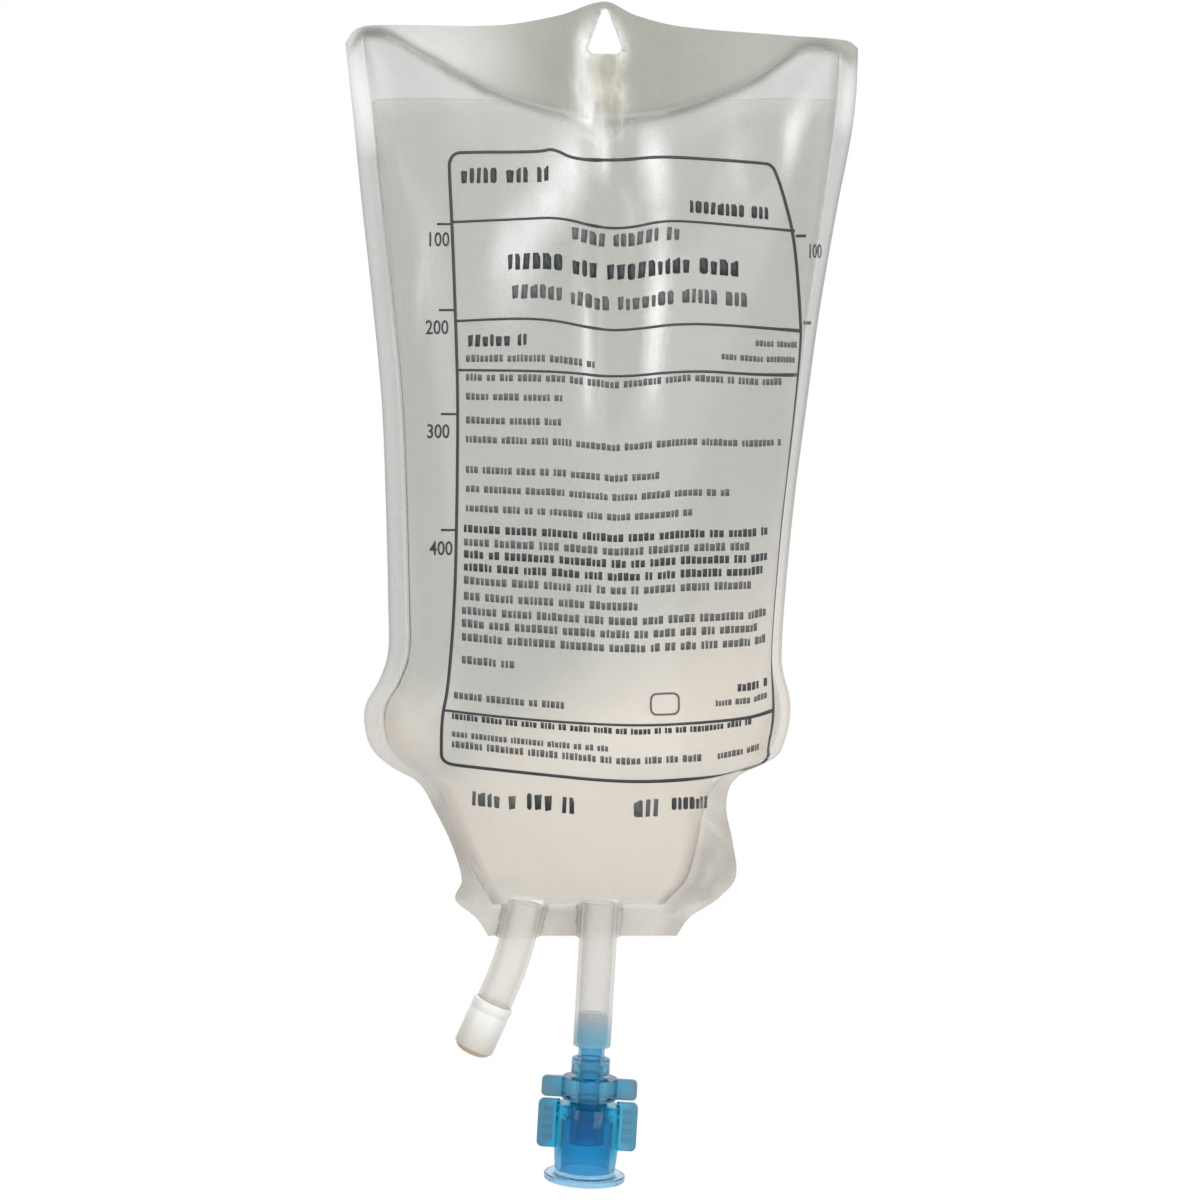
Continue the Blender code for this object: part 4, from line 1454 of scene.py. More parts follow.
    def build(self) -> bpy.types.Object:
        """Builds the pouch as one closed solid with its chamber inside.

        Returns:
            The pouch.
        """
        grid = self.grid()
        x, y, z = grid["x"], grid["y"], grid["z"]
        rows, columns = x.shape
        number = np.arange(rows * columns).reshape(x.shape)
        inner = {face: FORM.depth(x, z, grid["across"], face) for face in Face}
        sealed = (grid["flange"] > 0) | (np.abs(grid["across"]) >= 1)
        sealed &= FORM.channel(x, z) <= 0
        sealed |= z >= FORM.weld_z(grid["share"]) - self.touch
        layers = []
        for face in Face:
            depth = np.where(sealed, 0.0, inner[face])
            for extra in (FORM.film, 0.0):
                reach = face.value * (depth + extra)
                sideways, ahead = x - reach * np.sin(grid["turn"]), y + reach * np.cos(grid["turn"])
                layers.append(np.stack([sideways, ahead, z], axis=-1).reshape(-1, 3))
        shut = sealed | (inner[Face.FRONT] + inner[Face.BACK] <= self.touch)
        size = rows * columns
        front_out, front_in, back_out, back_in = (number + size * n for n in range(4))
        back_in = np.where(shut, front_in, back_in)
        faces: list[tuple[int, ...]] = []
        for cell in cells(rows, columns):
            faces.append(tuple(front_out[c] for c in cell))
            faces.append(tuple(back_out[c] for c in reversed(cell)))
            if not all(shut[c] for c in cell):
                faces.append(tuple(front_in[c] for c in reversed(cell)))
                faces.append(tuple(back_in[c] for c in cell))
        border = [(0, c) for c in range(columns)] + [(r, columns - 1) for r in range(1, rows)]
        border += [(rows - 1, c) for c in range(columns - 2, -1, -1)]
        border += [(r, 0) for r in range(rows - 2, 0, -1)]
        for here, after in zip(border, border[1:] + border[:1]):
            faces.append((front_out[here], front_out[after], front_in[after], front_in[here]))
            faces.append((back_out[after], back_out[here], back_in[here], back_in[after]))
        masks = {name: np.tile(values.ravel(), len(layers)) for name, values in self.masks(grid).items()}
        # The painted highlights lie on the front film's outer face only
        masks["painted_highlight"][size:] = 0.0
        mesh = mesh_from("film_pouch", np.concatenate(layers), faces, masks)
        pouch = new_object("film_pouch", mesh, FilmFinish(), self.sharp)
        combine(pouch, self.hole_cutter(), Operation.CUT)
        smoothed(pouch, self.sharp)
        return finished(pouch, Body.BAG, "clear_film", "film_front", "film_back")


# Warm light: heights and slopes where it starts and is full, then each ear's middle and size in mm
WARM_START, WARM_FULL = (-144.0 * MM, 0.9), (-182.0 * MM, 0.33)
WARM_EARS = ((-52.0, -179.0, 15.0, 13.0), (46.0, -177.0, 9.0, 14.0))


def warmth(x: Array, z: Array) -> Array:
    """Share of the warm light that the lower bag and its two ears gather.

    Args:
        x: Places across.
        z: Heights.

    Returns:
        The share at each place.
    """
    (start, start_slope), (full, full_slope) = WARM_START, WARM_FULL
    share = smooth(start + start_slope * x, full + full_slope * x, z)
    for middle, height, wide, tall in WARM_EARS:
        sideways, upwards = (x - middle * MM) / (wide * MM), (z - height * MM) / (tall * MM)
        share = np.maximum(share, np.exp(-(sideways**2) - upwards**2))
    return np.clip(share, 0.0, 1.0)


@dataclass
class LiquidFill:
    """Saline in the chamber, up to a flat surface with air in the two top corners."""

    columns: int = 112
    rows: int = 150
    level: float = -22.3 * MM
    clearance: float = 0.5 * MM
    weld_gap: float = 0.8 * MM
    foot_gap: float = 1.8 * MM
    least_depth: float = 0.05 * MM
    crowding: Span = (0.85, 0.15)
    level_from: Span = (5.0 * MM, 0.5 * MM)
    foot_from: Span = (6.0 * MM, 2.0 * MM)

    def build(self) -> bpy.types.Object:
        """Builds the liquid as one closed body.

        Returns:
            The liquid.
        """
        row, column = np.meshgrid(np.arange(self.rows + 1), np.arange(self.columns + 1), indexing="ij")
        across = crowded(2 * column / self.columns - 1, self.crowding)
        top = np.minimum(FORM.weld_z(FORM.chamber_share(across)) - self.weld_gap, self.level)
        z = top + (FORM.foot_z() + self.foot_gap - top) * eased(row / self.rows)
        x = FORM.chamber_x(across, z, self.clearance)
        y = FORM.middle_y(x, z)
        layers = []
        for face in Face:
            depth = np.maximum(FORM.depth(x, z, across, face) - self.clearance, self.least_depth)
            depth = np.where(np.abs(across) >= 1, 0.0, depth)
            layers.append(np.stack([x, y + face.value * depth, z], axis=-1).reshape(-1, 3))
        number = np.arange(x.size).reshape(x.shape)
        front, back = number, np.where(np.abs(across) >= 1, number, number + x.size)
        faces = []
        for cell in cells(self.rows + 1, self.columns + 1):
            faces.append(tuple(front[n] for n in cell))
            faces.append(tuple(back[n] for n in reversed(cell)))
        for r in (0, self.rows):
            for c in range(self.columns):
                faces.append((front[r, c], front[r, c + 1], back[r, c + 1], back[r, c]))
        mesh = mesh_from("liquid_fill", np.concatenate(layers), faces)
        x, _, z = points_of(mesh).T
        set_mask(mesh, "warm", warmth(x, z))
        set_mask(mesh, "level", smooth(*(self.level - below for below in self.level_from), z))
        side = 0.3 * smooth(0.90, 1.0, np.abs(FORM.across(x, z)))
        foot = 0.6 * smooth(*(FORM.foot_z() + above for above in self.foot_from), z)
        set_mask(mesh, "edge", np.maximum(side, foot))
        liquid = new_object("liquid_fill", mesh, LiquidFinish(), 50.0)
        return finished(liquid, Body.BAG, "saline", "saline")


Row = tuple[float, float, float, float, Ink]
Outline = tuple[Point2, ...]


def runs(path: Sequence[Point2], closed: bool) -> list[tuple[Point2, Point2]]:
    """Pairs of a path's neighbouring points, with the pair back to its start where it is closed."""
    return list(zip(path, [*path[1:], path[0]] if closed else path[1:]))


def curved(path: Sequence[Point2], closed: bool, rounds: int = 3) -> list[Point2]:
    """Path with its corners cut again and again until it is a smooth curve.

    Args:
        path: Points of the path.
        closed: Whether it runs round to its start.
        rounds: How often its corners are cut.

    Returns:
        The smooth path, with the ends of an open path kept.
    """
    for _ in range(rounds):
        cut: list[Point2] = []
        for (ax, ay), (bx, by) in runs(path, closed):
            cut.append((0.75 * ax + 0.25 * bx, 0.75 * ay + 0.25 * by))
            cut.append((0.25 * ax + 0.75 * bx, 0.25 * ay + 0.75 * by))
        path = cut if closed else [path[0], *cut[1:-1], path[-1]]
    return list(path)


@dataclass
class LabelPrint:
    """Print on the front film: a ruled frame, rows of plain marks for its text, and the fill scale."""

    lift: float = 0.08 * MM
    thickness: float = 0.12 * MM
    stretch: float = 1.6
    mark_stretch: float = 1.25
    least_squeeze: float = 0.6
    spacing: float = 5.0
    frame_width: float = 2.9
    rule_width: float = 2.3
    tick_width: float = 2.0
    box_width: float = 1.8
    seed: int = 7
    rules: tuple[tuple[float, Outline], ...] = (
        (152, ((449, 152), (540, 152), (553, 148), (575, 160), (625, 160), (650, 157), (680, 157),
               (776, 164))),
        (222, ((452, 222), (520, 219), (560, 217), (600, 228), (630, 228), (660, 221), (690, 221),
               (795, 231))),
        (321, ((456, 321), (540, 317), (600, 330), (630, 330), (690, 322), (801, 331))),
        (370, ((458, 370), (560, 371), (615, 378), (690, 370), (760, 375), (799, 375))),
        (711, ((443, 710), (500, 717), (572, 723), (640, 726), (700, 723), (751, 718), (774, 710))),
        (765, ((445, 764), (526, 773), (625, 783), (705, 779), (740, 771), (769, 762))),
    )
    left_edge: Outline = (
        (449, 166), (452, 222), (456, 330), (458, 400), (457, 500), (455, 600), (448, 690), (442, 715),
        (441, 752),
    )
    right_edge: Outline = (
        (776, 172), (785, 200), (795, 240), (801, 320), (801, 345), (796, 400), (787, 480), (782, 520),
        (775, 600), (771, 660), (774, 700), (773, 725), (768, 748),
    )
    top_left: Outline = ((450, 160), (454, 154), (461, 152))
    top_right: Outline = ((764, 163), (771, 165))
    bottom_right: Outline = ((769, 756), (763, 764))
    bottom_left: Outline = ((462, 766), (448, 764), (442, 759))
    box: tuple[tuple[float, float, float], ...] = (
        (651, 694, 6), (679, 693, 6), (679, 714, 6), (651, 715, 6),
    )
    rows: tuple[Row, ...] = (
        (461, 553, 175, 15, Ink.BLACK), (690, 771, 210, 12, Ink.BLACK), (572, 678, 240, 13, Ink.GREY),
        (508, 742, 272, 16, Ink.BLACK), (512, 750, 303, 14, Ink.GREY), (468, 531, 340, 12, Ink.BLACK),
        (756, 797, 344, 6, Ink.GREY), (722, 797, 359, 6, Ink.GREY), (466, 598, 358, 7, Ink.GREY),
        (466, 785, 384, 7, Ink.GREY), (466, 565, 397, 7, Ink.GREY), (466, 563, 421, 7, Ink.GREY),
        (466, 783, 447, 7, Ink.GREY), (466, 660, 473, 7, Ink.GREY), (466, 730, 496, 7, Ink.GREY),
        (466, 692, 514, 7, Ink.GREY), (464, 772, 538, 8, Ink.BLACK), (464, 752, 551, 8, Ink.GREY),
        (464, 770, 564, 8, Ink.BLACK), (464, 766, 577, 8, Ink.BLACK), (464, 754, 590, 8, Ink.GREY),
        (464, 645, 602, 8, Ink.GREY), (462, 766, 621, 8, Ink.GREY), (462, 762, 634, 8, Ink.GREY),
        (462, 765, 648, 8, Ink.GREY), (462, 514, 662, 8, Ink.GREY), (738, 767, 686, 8, Ink.BLACK),
        (716, 768, 701, 6, Ink.GREY), (454, 565, 701, 7, Ink.GREY), (452, 752, 730, 6, Ink.BLACK),
        (452, 608, 742, 6, Ink.GREY), (452, 705, 757, 7, Ink.GREY), (718, 761, 752, 6, Ink.GREY),
        (472, 520, 801, 14, Ink.GREY), (527, 580, 804, 16, Ink.BLACK), (634, 668, 808, 17, Ink.GREY),
        (672, 708, 803, 12, Ink.BLACK),
    )
    large_height: float = 9.0
    large_pitch: float = 0.66
    small_pitch: float = 0.74
    mark_widths: tuple[float, ...] = (0.44, 0.62, 0.70, 0.78)
    mark_heights: tuple[float, ...] = (0.86, 0.94, 1.0)
    mark_gap: float = 0.26
    word_gap: float = 0.7
    block: Outline = ((0.0, 1.0), (1.0, 1.0), (1.0, 0.0), (0.0, 0.0))
    pebbles: tuple[Outline, ...] = (
        ((0.0, 0.86), (0.2, 1.0), (0.8, 1.0), (1.0, 0.86), (1.0, 0.14), (0.8, 0.0), (0.2, 0.0),
         (0.0, 0.14)),
        ((0.0, 0.80), (0.8, 1.0), (1.0, 0.92), (1.0, 0.0), (0.2, 0.0), (0.0, 0.10)),
        ((0.16, 1.0), (1.0, 1.0), (0.84, 0.0), (0.0, 0.0)),
        ((0.0, 0.78), (0.3, 0.84), (1.0, 0.78), (0.9, 0.0), (0.1, 0.0)),
        ((0.0, 1.0), (0.7, 1.0), (1.0, 0.74), (1.0, 0.0), (0.0, 0.0)),
        ((0.0, 0.92), (1.0, 1.0), (0.9, 0.10), (0.1, 0.0)),
    )
    ticks: tuple[tuple[float, float, float], ...] = (
        (437, 451, 224), (439, 455, 310), (441, 457, 414), (441, 457, 530),
        (796, 806, 236), (804, 811, 323),
    )
    numerals: tuple[tuple[str, float, float], ...] = (
        ("100", 438, 240), ("200", 437, 328), ("300", 438, 432), ("400", 441, 549), ("100", 815, 252),
    )
    digit_height: float = 0.70
    digit_width: float = 0.78
    digit_weight: float = 0.008

    def __post_init__(self) -> None:
        """Starts the lists of the print's points, faces and darkness."""
        self.points: list[Point2] = []
        self.nudges: list[Point2] = []
        self.faces: list[tuple[int, ...]] = []
        self.ink: list[float] = []

    def warp(self, nominal: float, px: float) -> float:
        """How far the film's folds move a line of print down, between the rules above and below it.

        Args:
            nominal: Height of the line where it has no folds.
            px: Pixel across.

        Returns:
            The way down, in pixels.
        """
        heights = [height for height, _ in self.rules]
        shifts = []
        for height, path in self.rules:
            shifts.append(float(np.interp(px, [p[0] for p in path], [p[1] for p in path])) - height)
        return float(np.interp(nominal, heights, shifts))

    def squeeze(self, px: Array, py: float) -> Array:
        """Share of its width that a mark keeps where the film turns away from the camera.

        Args:
            px: Pixels across.
            py: Pixels down.

        Returns:
            The share at each place.
        """
        places = VIEW.on_film(px, np.full(np.shape(px), py), 0.0)
        facing = np.abs(FORM.front_normal(places[:, 0], places[:, 2])[:, 1])
        return np.clip(self.mark_stretch * facing, self.least_squeeze, 1.0)

    def mark(self, corners: Sequence[Point2], ink: Ink) -> None:
        """Adds one flat mark.

        Args:
            corners: Its corners, clockwise in the photograph from the top left.
            ink: Its darkness.
        """
        start = len(self.points)
        self.points.extend(corners)
        self.nudges.extend([(0.0, 0.0)] * len(corners))
        self.ink.extend([ink.value] * len(corners))
        self.faces.append(tuple(range(start + len(corners) - 1, start - 1, -1)))

    def stroke(self, path: Sequence[Point2], width: float, ink: Ink, closed: bool = False) -> None:
        """Adds a line of even width.

        Args:
            path: Pixels of the line.
            width: Its width in pixels.
            ink: Its darkness.
            closed: Whether it runs round to its start.
        """
        dense: list[Point2] = []
        path = curved(path, closed)
        for (ax, ay), (bx, by) in runs(path, closed):
            steps = max(int(math.hypot(bx - ax, by - ay) / self.spacing), 1)
            dense += [(ax + (bx - ax) * s / steps, ay + (by - ay) * s / steps) for s in range(steps)]
        if not closed:
            dense.append(path[-1])
        start, count = len(self.points), len(dense)
        centre = VIEW.on_film(*np.array(dense).T, 0.0)
        last, following = np.roll(centre, 1, axis=0), np.roll(centre, -1, axis=0)
        if not closed:
            last[0], following[-1] = centre[0], centre[-1]
        normal = FORM.front_normal(centre[:, 0], centre[:, 2])
        side = np.cross(following - last, normal)
        stretch = np.minimum(1 / np.abs(normal[:, 1]), self.stretch)
        side *= (width * PhotoPlane().pixel / 2 * stretch / np.linalg.norm(side, axis=1))[:, None]
        for point, (dx, _, dz) in zip(dense, side):
            self.points += [point, point]
            self.nudges += [(dx, dz), (-dx, -dz)]
            self.ink += [ink.value] * 2
        for index in range(count if closed else count - 1):
            here, after = start + 2 * index, start + 2 * ((index + 1) % count)
            self.faces.append((here, after, after + 1, here + 1))

    def greek(self, row: Row, dice: random.Random) -> None:
        """Adds a row of plain marks where the real label has words.

        Args:
            row: Left and right pixel, middle height, height of the marks, and darkness.
            dice: Source of the words' lengths.
        """
        left, right, middle, height, ink = row
        large = height > self.large_height
        pitch = (self.large_pitch if large else self.small_pitch) * height
        centre = (left + right) / 2
        spots = np.linspace(left, right, 9)
        narrow = self.squeeze(spots, middle)
        px = left
        letters = dice.randint(3, 8)
        while px < right - 0.4 * pitch:
            if letters == 0:
                px += self.word_gap * pitch
                letters = dice.randint(2, 9)
                continue
            letters -= 1
            step = pitch * float(np.interp(px, spots, narrow))
            wide = step * dice.choice(self.mark_widths)
            tall = height * (1.0 if large else dice.choice(self.mark_heights))
            corners = []
            for u, v in dice.choice(self.pebbles) if large else self.block:
                x = px + wide * u
                foot = middle + height / 2 + self.warp(middle, x) - self.warp(middle, centre)
                corners.append((x, foot - tall * v))
            self.mark(corners, ink)
            px += wide + self.mark_gap * step

    def frame_lines(self) -> None:
        """Adds the frame with its rounded corners, the rules across it and the box in its lower part."""
        top, bottom = self.rules[0][1], self.rules[-1][1]
        outline = [*self.top_left, *top[1:-1], *self.top_right, *self.right_edge, *self.bottom_right]
        outline += [*reversed(bottom[1:-1]), *self.bottom_left, *reversed(self.left_edge)]
        self.stroke(outline, self.frame_width, Ink.BLACK, closed=True)
        for _, path in self.rules[1:-1]:
            self.stroke(path, self.rule_width, Ink.BLACK)
        self.stroke(rounded(self.box, 4), self.box_width, Ink.GREY, closed=True)

    def numeral(self, text: str, px: float, py: float, height: float = 14.0) -> None:
        """Adds a number of the fill scale.

        Args:
            text: The number.
            px: Pixel across of its middle.
            py: Pixel down of its middle.
            height: Height of its digits in pixels.
        """
        curve = bpy.data.curves.new("numeral", "FONT")
        curve.body = text
        curve.align_x, curve.align_y = "CENTER", "CENTER"
        curve.size = 1.0
        curve.resolution_u = 3
        curve.offset = self.digit_weight
        holder = linked("numeral", curve)
        bpy.context.view_layer.update()
        shown = holder.evaluated_get(bpy.context.evaluated_depsgraph_get())
        mesh = bpy.data.meshes.new_from_object(shown)
        scale = height / self.digit_height
        across = self.digit_width * scale * float(self.squeeze(np.array([px]), py)[0])
        start = len(self.points)
        self.points += [(px + v.co.x * across, py - v.co.y * scale) for v in mesh.vertices]
        self.nudges += [(0.0, 0.0)] * len(mesh.vertices)
        self.ink += [Ink.BLACK.value] * len(mesh.vertices)
        self.faces += [tuple(start + n for n in face.vertices) for face in mesh.polygons]
        bpy.data.objects.remove(holder)
        bpy.data.curves.remove(curve)
        bpy.data.meshes.remove(mesh)

    def build(self) -> bpy.types.Object:
        """Builds all print as one piece of thin plates on the film.

        Returns:
            The print.
        """
        dice = random.Random(self.seed)
        self.frame_lines()
        for row in self.rows:
            self.greek(row, dice)
        for left, right, height in self.ticks:
            self.stroke(((left, height), (right, height)), self.tick_width, Ink.BLACK)
        for text, px, py in self.numerals:
            self.numeral(text, px, py)
        pixels = np.array(self.points)
        places = VIEW.on_film(pixels[:, 0], pixels[:, 1], self.lift)
        places[:, (0, 2)] += np.array(self.nudges)
        places[:, 1] = FORM.front_y(places[:, 0], places[:, 2]) - self.lift
        mesh = bpy.data.meshes.new("label_print")
        mesh.from_pydata(places.tolist(), [], self.faces)
        set_mask(mesh, "ink", np.array(self.ink))
        label = new_object("label_print", mesh, InkFinish())
        shell = label.modifiers.new("thickness", "SOLIDIFY")
        shell.thickness = self.thickness
        shell.offset = -1.0
        apply_modifiers(label)
        return finished(label, Body.BAG, None)


@dataclass
class PortTube:
    """Open tube along a route, with softened ends."""

    name: str
    node: str
    route: Sequence[Vector]
    diameter: float
    finish: TubeFinish = TubeFinish()
    stem: float = 0.0
    stem_from: Span = (0.8 * MM, -4.0 * MM)
    wall: float = 0.9 * MM
    soft: float = 0.2 * MM
    sides: int = 64

    def build(self) -> bpy.types.Object:
        """Builds the tube as a closed wall.

        Returns:
            The tube.
        """
        outer, inner, soft = self.diameter / 2, self.diameter / 2 - self.wall, self.soft
        start, end = 0, len(self.route) - 1
        stations: list[tuple[int, float, float]] = [(start, outer - soft, 0.0), (start, outer, soft)]
        stations += [(n, outer, 0.0) for n in range(1, end)]
        stations += [(end, outer, -soft), (end, outer - soft, 0.0)]
        stations += [(end, inner + soft, 0.0), (end, inner, -soft)]
        stations += [(n, inner, 0.0) for n in range(end - 1, 0, -1)]
        stations += [(start, inner, soft), (start, inner + soft, 0.0)]
        points = []
        for index, radius, ahead in stations:
            way = (self.route[min(index + 1, end)] - self.route[max(index - 1, 0)]).normalized()
            side = Vector((0.0, 1.0, 0.0))
            up = way.cross(side)
            centre = self.route[index] + way * ahead
            for step in range(self.sides):
                turn = 2 * math.pi * step / self.sides
                points.append(centre + (side * math.cos(turn) + up * math.sin(turn)) * radius)
        faces = banded(len(stations), self.sides, closed=True)
        mesh = mesh_from(self.name, np.array([tuple(point) for point in points]), faces)
        if self.stem:
            along = np.linalg.norm(points_of(mesh) - np.array(self.route[-1]), axis=1)
            set_mask(mesh, "stem", smooth(*(self.stem + past for past in self.stem_from), along))
        return finished(new_object(self.name, mesh, self.finish), Body.BAG, "clear_tube", self.node)


def supply_route() -> list[Vector]:
    """Lays the route of the straight tube.

    Returns:
        Points down its axis.
    """
    tubes = FORM.tubes
    steps = 36
    span = tubes.supply_length + tubes.entry
    return [
        FORM.down_axis(tubes.supply_x, tubes.supply_tilt, span * step / steps - tubes.entry)
        for step in range(steps + 1)
    ]


def site_route() -> list[Vector]:
    """Lays the route of the bent tube.

    Returns:
        Points down its axis.
    """
    tubes = FORM.tubes
    route = [
        FORM.down_axis(tubes.site_x, tubes.site_tilt, -tubes.entry),
        FORM.down_axis(tubes.site_x, tubes.site_tilt, tubes.site_root / 2),
        FORM.down_axis(tubes.site_x, tubes.site_tilt, tubes.site_root),
    ]
    bends, ends = 12, 6
    for step in range(bends + ends):
        bend = min((step + 0.5) / bends, 1.0)
        tilt = tubes.site_tilt + tubes.site_bend * bend
        length = tubes.site_bend_length / bends if step < bends else tubes.site_end / ends
        route.append(route[-1] + Vector((-math.sin(tilt), 0.0, -math.cos(tilt))) * length)
    return route


@dataclass
class InjectionSite:
    """Whitish sleeve over the bent tube's end, and the rubber plug in it."""

    end: Vector
    seat: float = 0.3 * MM
    fit: float = 0.05 * MM
    sleeve_length: float = 12.5 * MM
    sleeve_wall: float = 0.5 * MM
    lip: float = 1.2 * MM
    end_from: float = 1.4 * MM
    groove: tuple[float, ...] = (2.2 * MM, 2.5 * MM, 2.9 * MM, 3.2 * MM)
    groove_depth: float = 0.14 * MM
    plug_length: float = 6.0 * MM
    dome: float = 1.8 * MM
    dimple: float = 0.35 * MM
    dimple_width: float = 0.45
    soft: float = 0.25 * MM

    def build(self) -> None:
        """Builds the sleeve and the plug."""
        tubes = FORM.tubes
        tilt = tubes.site_tilt + tubes.site_bend
        outer = tubes.site_diameter / 2
        inside = outer + self.fit
        outside = inside + self.sleeve_wall
        top = self.lip - self.sleeve_length
        soft, waist = self.soft, outside - self.groove_depth
        sleeve = [
            (outside - 1.6 * soft, top),
            (outside - 0.5 * soft, top + 0.5 * soft),
            (outside, top + 1.6 * soft),
            *zip((outside, waist, waist, outside), (top + depth for depth in self.groove)),
            (outside, self.lip - 1.6 * soft),
            (outside - 0.5 * soft, self.lip - 0.5 * soft),
            (outside - 1.6 * soft, self.lip),
            (inside, self.lip),
            (inside, top),
        ]
        piece = turned("injection_sleeve", sleeve, SoftFinish())
        end = smooth(self.end_from - self.lip, -self.lip, points_of(piece.data)[:, 2])
        set_mask(piece.data, "end", end * 0.8)
        finished(on_axis(piece, self.end, tilt), Body.BAG, "white_sleeve", "injection_site_sleeve")
        plug = outer - tubes.wall - self.seat
        head = inside - self.fit
        profile = [
            (0.0, -self.plug_length),
            (plug - soft, -self.plug_length),
            (plug, soft - self.plug_length),
            (plug, self.seat),
            (head, self.seat),
        ]
        steps = 12
        for step in range(steps + 1):
            angle = math.pi / 2 * step / steps
            dimple = self.dimple * math.exp(-((math.cos(angle) / self.dimple_width) ** 2))
            profile.append((head * math.cos(angle), self.lip + self.dome * math.sin(angle) - dimple))
        profile[-1] = (0.0, profile[-1][1])
        tan, worn = (0.62, 0.50, 0.36), (0.50, 0.39, 0.27)
        rubber = SoftFinish("rubber_plug", tan, worn, worn, 0.55, Grain(1500.0, 2.0))
        piece = turned("injection_plug", profile, rubber)
        finished(on_axis(piece, self.end, tilt), Body.BAG, "latex", "injection_septum")


@dataclass
class SpikePort:
    """Blue moulded port: stem in the tube, neck, lug ring, hub with finger tabs, and nozzle."""

    end: Vector
    seat: float = 0.3 * MM
    stem_length: float = 8.2 * MM
    membrane: float = 0.6 * MM
    bore: float = 2.6 * MM
    neck: float = 3.3 * MM
    ring_depth: float = 3.0 * MM
    ring_height: float = 4.0 * MM
    ring_radius: float = 4.8 * MM
    lug_reach: float = 0.5 * MM
    lug_width: float = 2.0 * MM
    lugs: int = 4
    hub_depth: float = 7.8 * MM
    hub_height: float = 5.4 * MM
    hub_radius: float = 7.0 * MM
    tab_reach: float = 11.9 * MM
    tab_thickness: float = 2.0 * MM
    tab_corner: float = 1.2 * MM
    nozzle_length: float = 11.0 * MM
    nozzle: float = 4.6 * MM
    soft: float = 0.3 * MM
    lug_soft: float = 0.2 * MM
    sharp: float = 35.0
    neck_pale: Span = (-7.8 * MM, -5.5 * MM)
    stem_pale: Span = (1.5 * MM, 8.0 * MM)
    grip_run: float = 1.5 * MM
    foot_dark: Span = (1.0 * MM, 0.4 * MM)
    side_shading_from: Span = (2.0 * MM, 5.0 * MM)
    margin: float = 0.1 * MM

    def hub_foot(self) -> float:
        """Depth of the hub's lower face."""
        return self.hub_depth + self.hub_height

    def profile(self) -> list[Point2]:
        """Lays the profile of the turned body.

        Returns:
            Points of (radius, depth).
        """
        stem = FORM.tubes.supply_diameter / 2 - FORM.tubes.wall - self.seat
        foot, tip, soft = self.hub_foot(), self.hub_foot() + self.nozzle_length, self.soft
        ring_foot = self.ring_depth + self.ring_height
        return [
            (0.0, -self.stem_length),
            (stem - soft, -self.stem_length),
            (stem - 0.3 * soft, 0.3 * soft - self.stem_length),
            (stem, soft - self.stem_length),
            (stem, -self.seat),
            (self.neck, 0.0),
            (self.neck, self.ring_depth - soft),
            (self.neck + soft, self.ring_depth),
            (self.ring_radius - soft, self.ring_depth),
            (self.ring_radius, self.ring_depth + soft),
            (self.ring_radius, ring_foot - soft),
            (self.ring_radius - soft, ring_foot),
            (self.neck, ring_foot),
            (self.neck, self.hub_depth - 0.2 * soft),
            (self.neck + 0.5 * soft, self.hub_depth),
            (self.hub_radius - soft, self.hub_depth),
            (self.hub_radius, self.hub_depth + soft),
            (self.hub_radius, foot - soft),
            (self.hub_radius - soft, foot),
            (self.nozzle, foot),
            (self.nozzle - soft, tip),
            (self.bore, tip),
            (self.bore, self.membrane - self.stem_length),
            (0.0, self.membrane - self.stem_length),
        ]

    def build(self) -> bpy.types.Object:
        """Builds the port as one moulding.

        Returns:
            The port.
        """
        deep, pale, grey = (0.11, 0.53, 0.79), (0.48, 0.75, 0.88), (0.16, 0.26, 0.32)
        finish = MouldedFinish("blue_port_clear", deep, pale, grey)
        port = turned("port_moulding", self.profile(), finish)
        top, foot = -self.hub_depth - self.soft / 2, -self.hub_foot() + self.soft / 2
        for side in (-1, 1):
            low, high = (side * self.nozzle, foot), (side * self.tab_reach, top)
            tab = block("tab", low, high, self.tab_thickness / 2, self.tab_corner, self.soft, finish)
            combine(port, tab, Operation.JOIN)
        middle = -self.ring_depth - self.ring_height / 2
        for index in range(self.lugs):
            low = (self.neck + self.soft, middle - self.ring_height / 4)
            high = (self.ring_radius + self.lug_reach, middle + self.ring_height / 4)
            lug = block("lug", low, high, self.lug_width / 2, self.soft, self.lug_soft, finish)
            lug.data.transform(Matrix.Rotation(2 * math.pi * (index + 0.5) / self.lugs, 4, "Z"))
            combine(port, lug, Operation.JOIN)
        self.shade(port.data)
        smoothed(port, self.sharp)
        on_axis(port, self.end, FORM.tubes.supply_tilt)
        return finished(port, Body.BAG, "blue_port", "spike_port")

    def shade(self, mesh: bpy.types.Mesh) -> None:
        """Masks the thin and the gripped places of the moulding, and paints shade on the hub's sides and
        the left tab.

        Args:
            mesh: The port's mesh, still on Z.
        """
        x, _, z = points_of(mesh).T
        foot, middle = -self.hub_foot(), self.ring_depth + self.ring_height / 2
        set_mask(mesh, "thin", 0.35 * smooth(*self.neck_pale, z) + 0.40 * smooth(*self.stem_pale, z))
        tabs = smooth(self.hub_radius, self.hub_radius + self.grip_run, np.abs(x)) * 0.85
        low = 0.7 * smooth(*(foot + above for above in self.foot_dark), z) * (z > foot - self.margin)
        ring = 0.45 * (np.abs(z + middle) < self.ring_height / 2)
        set_mask(mesh, "grip", np.maximum(tabs, np.maximum(low, ring)))
        # Painted shade: the hub darker towards its sides, and the left tab darker than the right
        hub = smooth(-self.ring_depth, -self.hub_depth, z) * smooth(foot - self.margin, foot, z)
        sides = hub * (1 - tabs) * smooth(*self.side_shading_from, np.abs(x)) * 0.42
        set_mask(mesh, "painted_shading", sides + tabs * (x < 0) * 0.15)


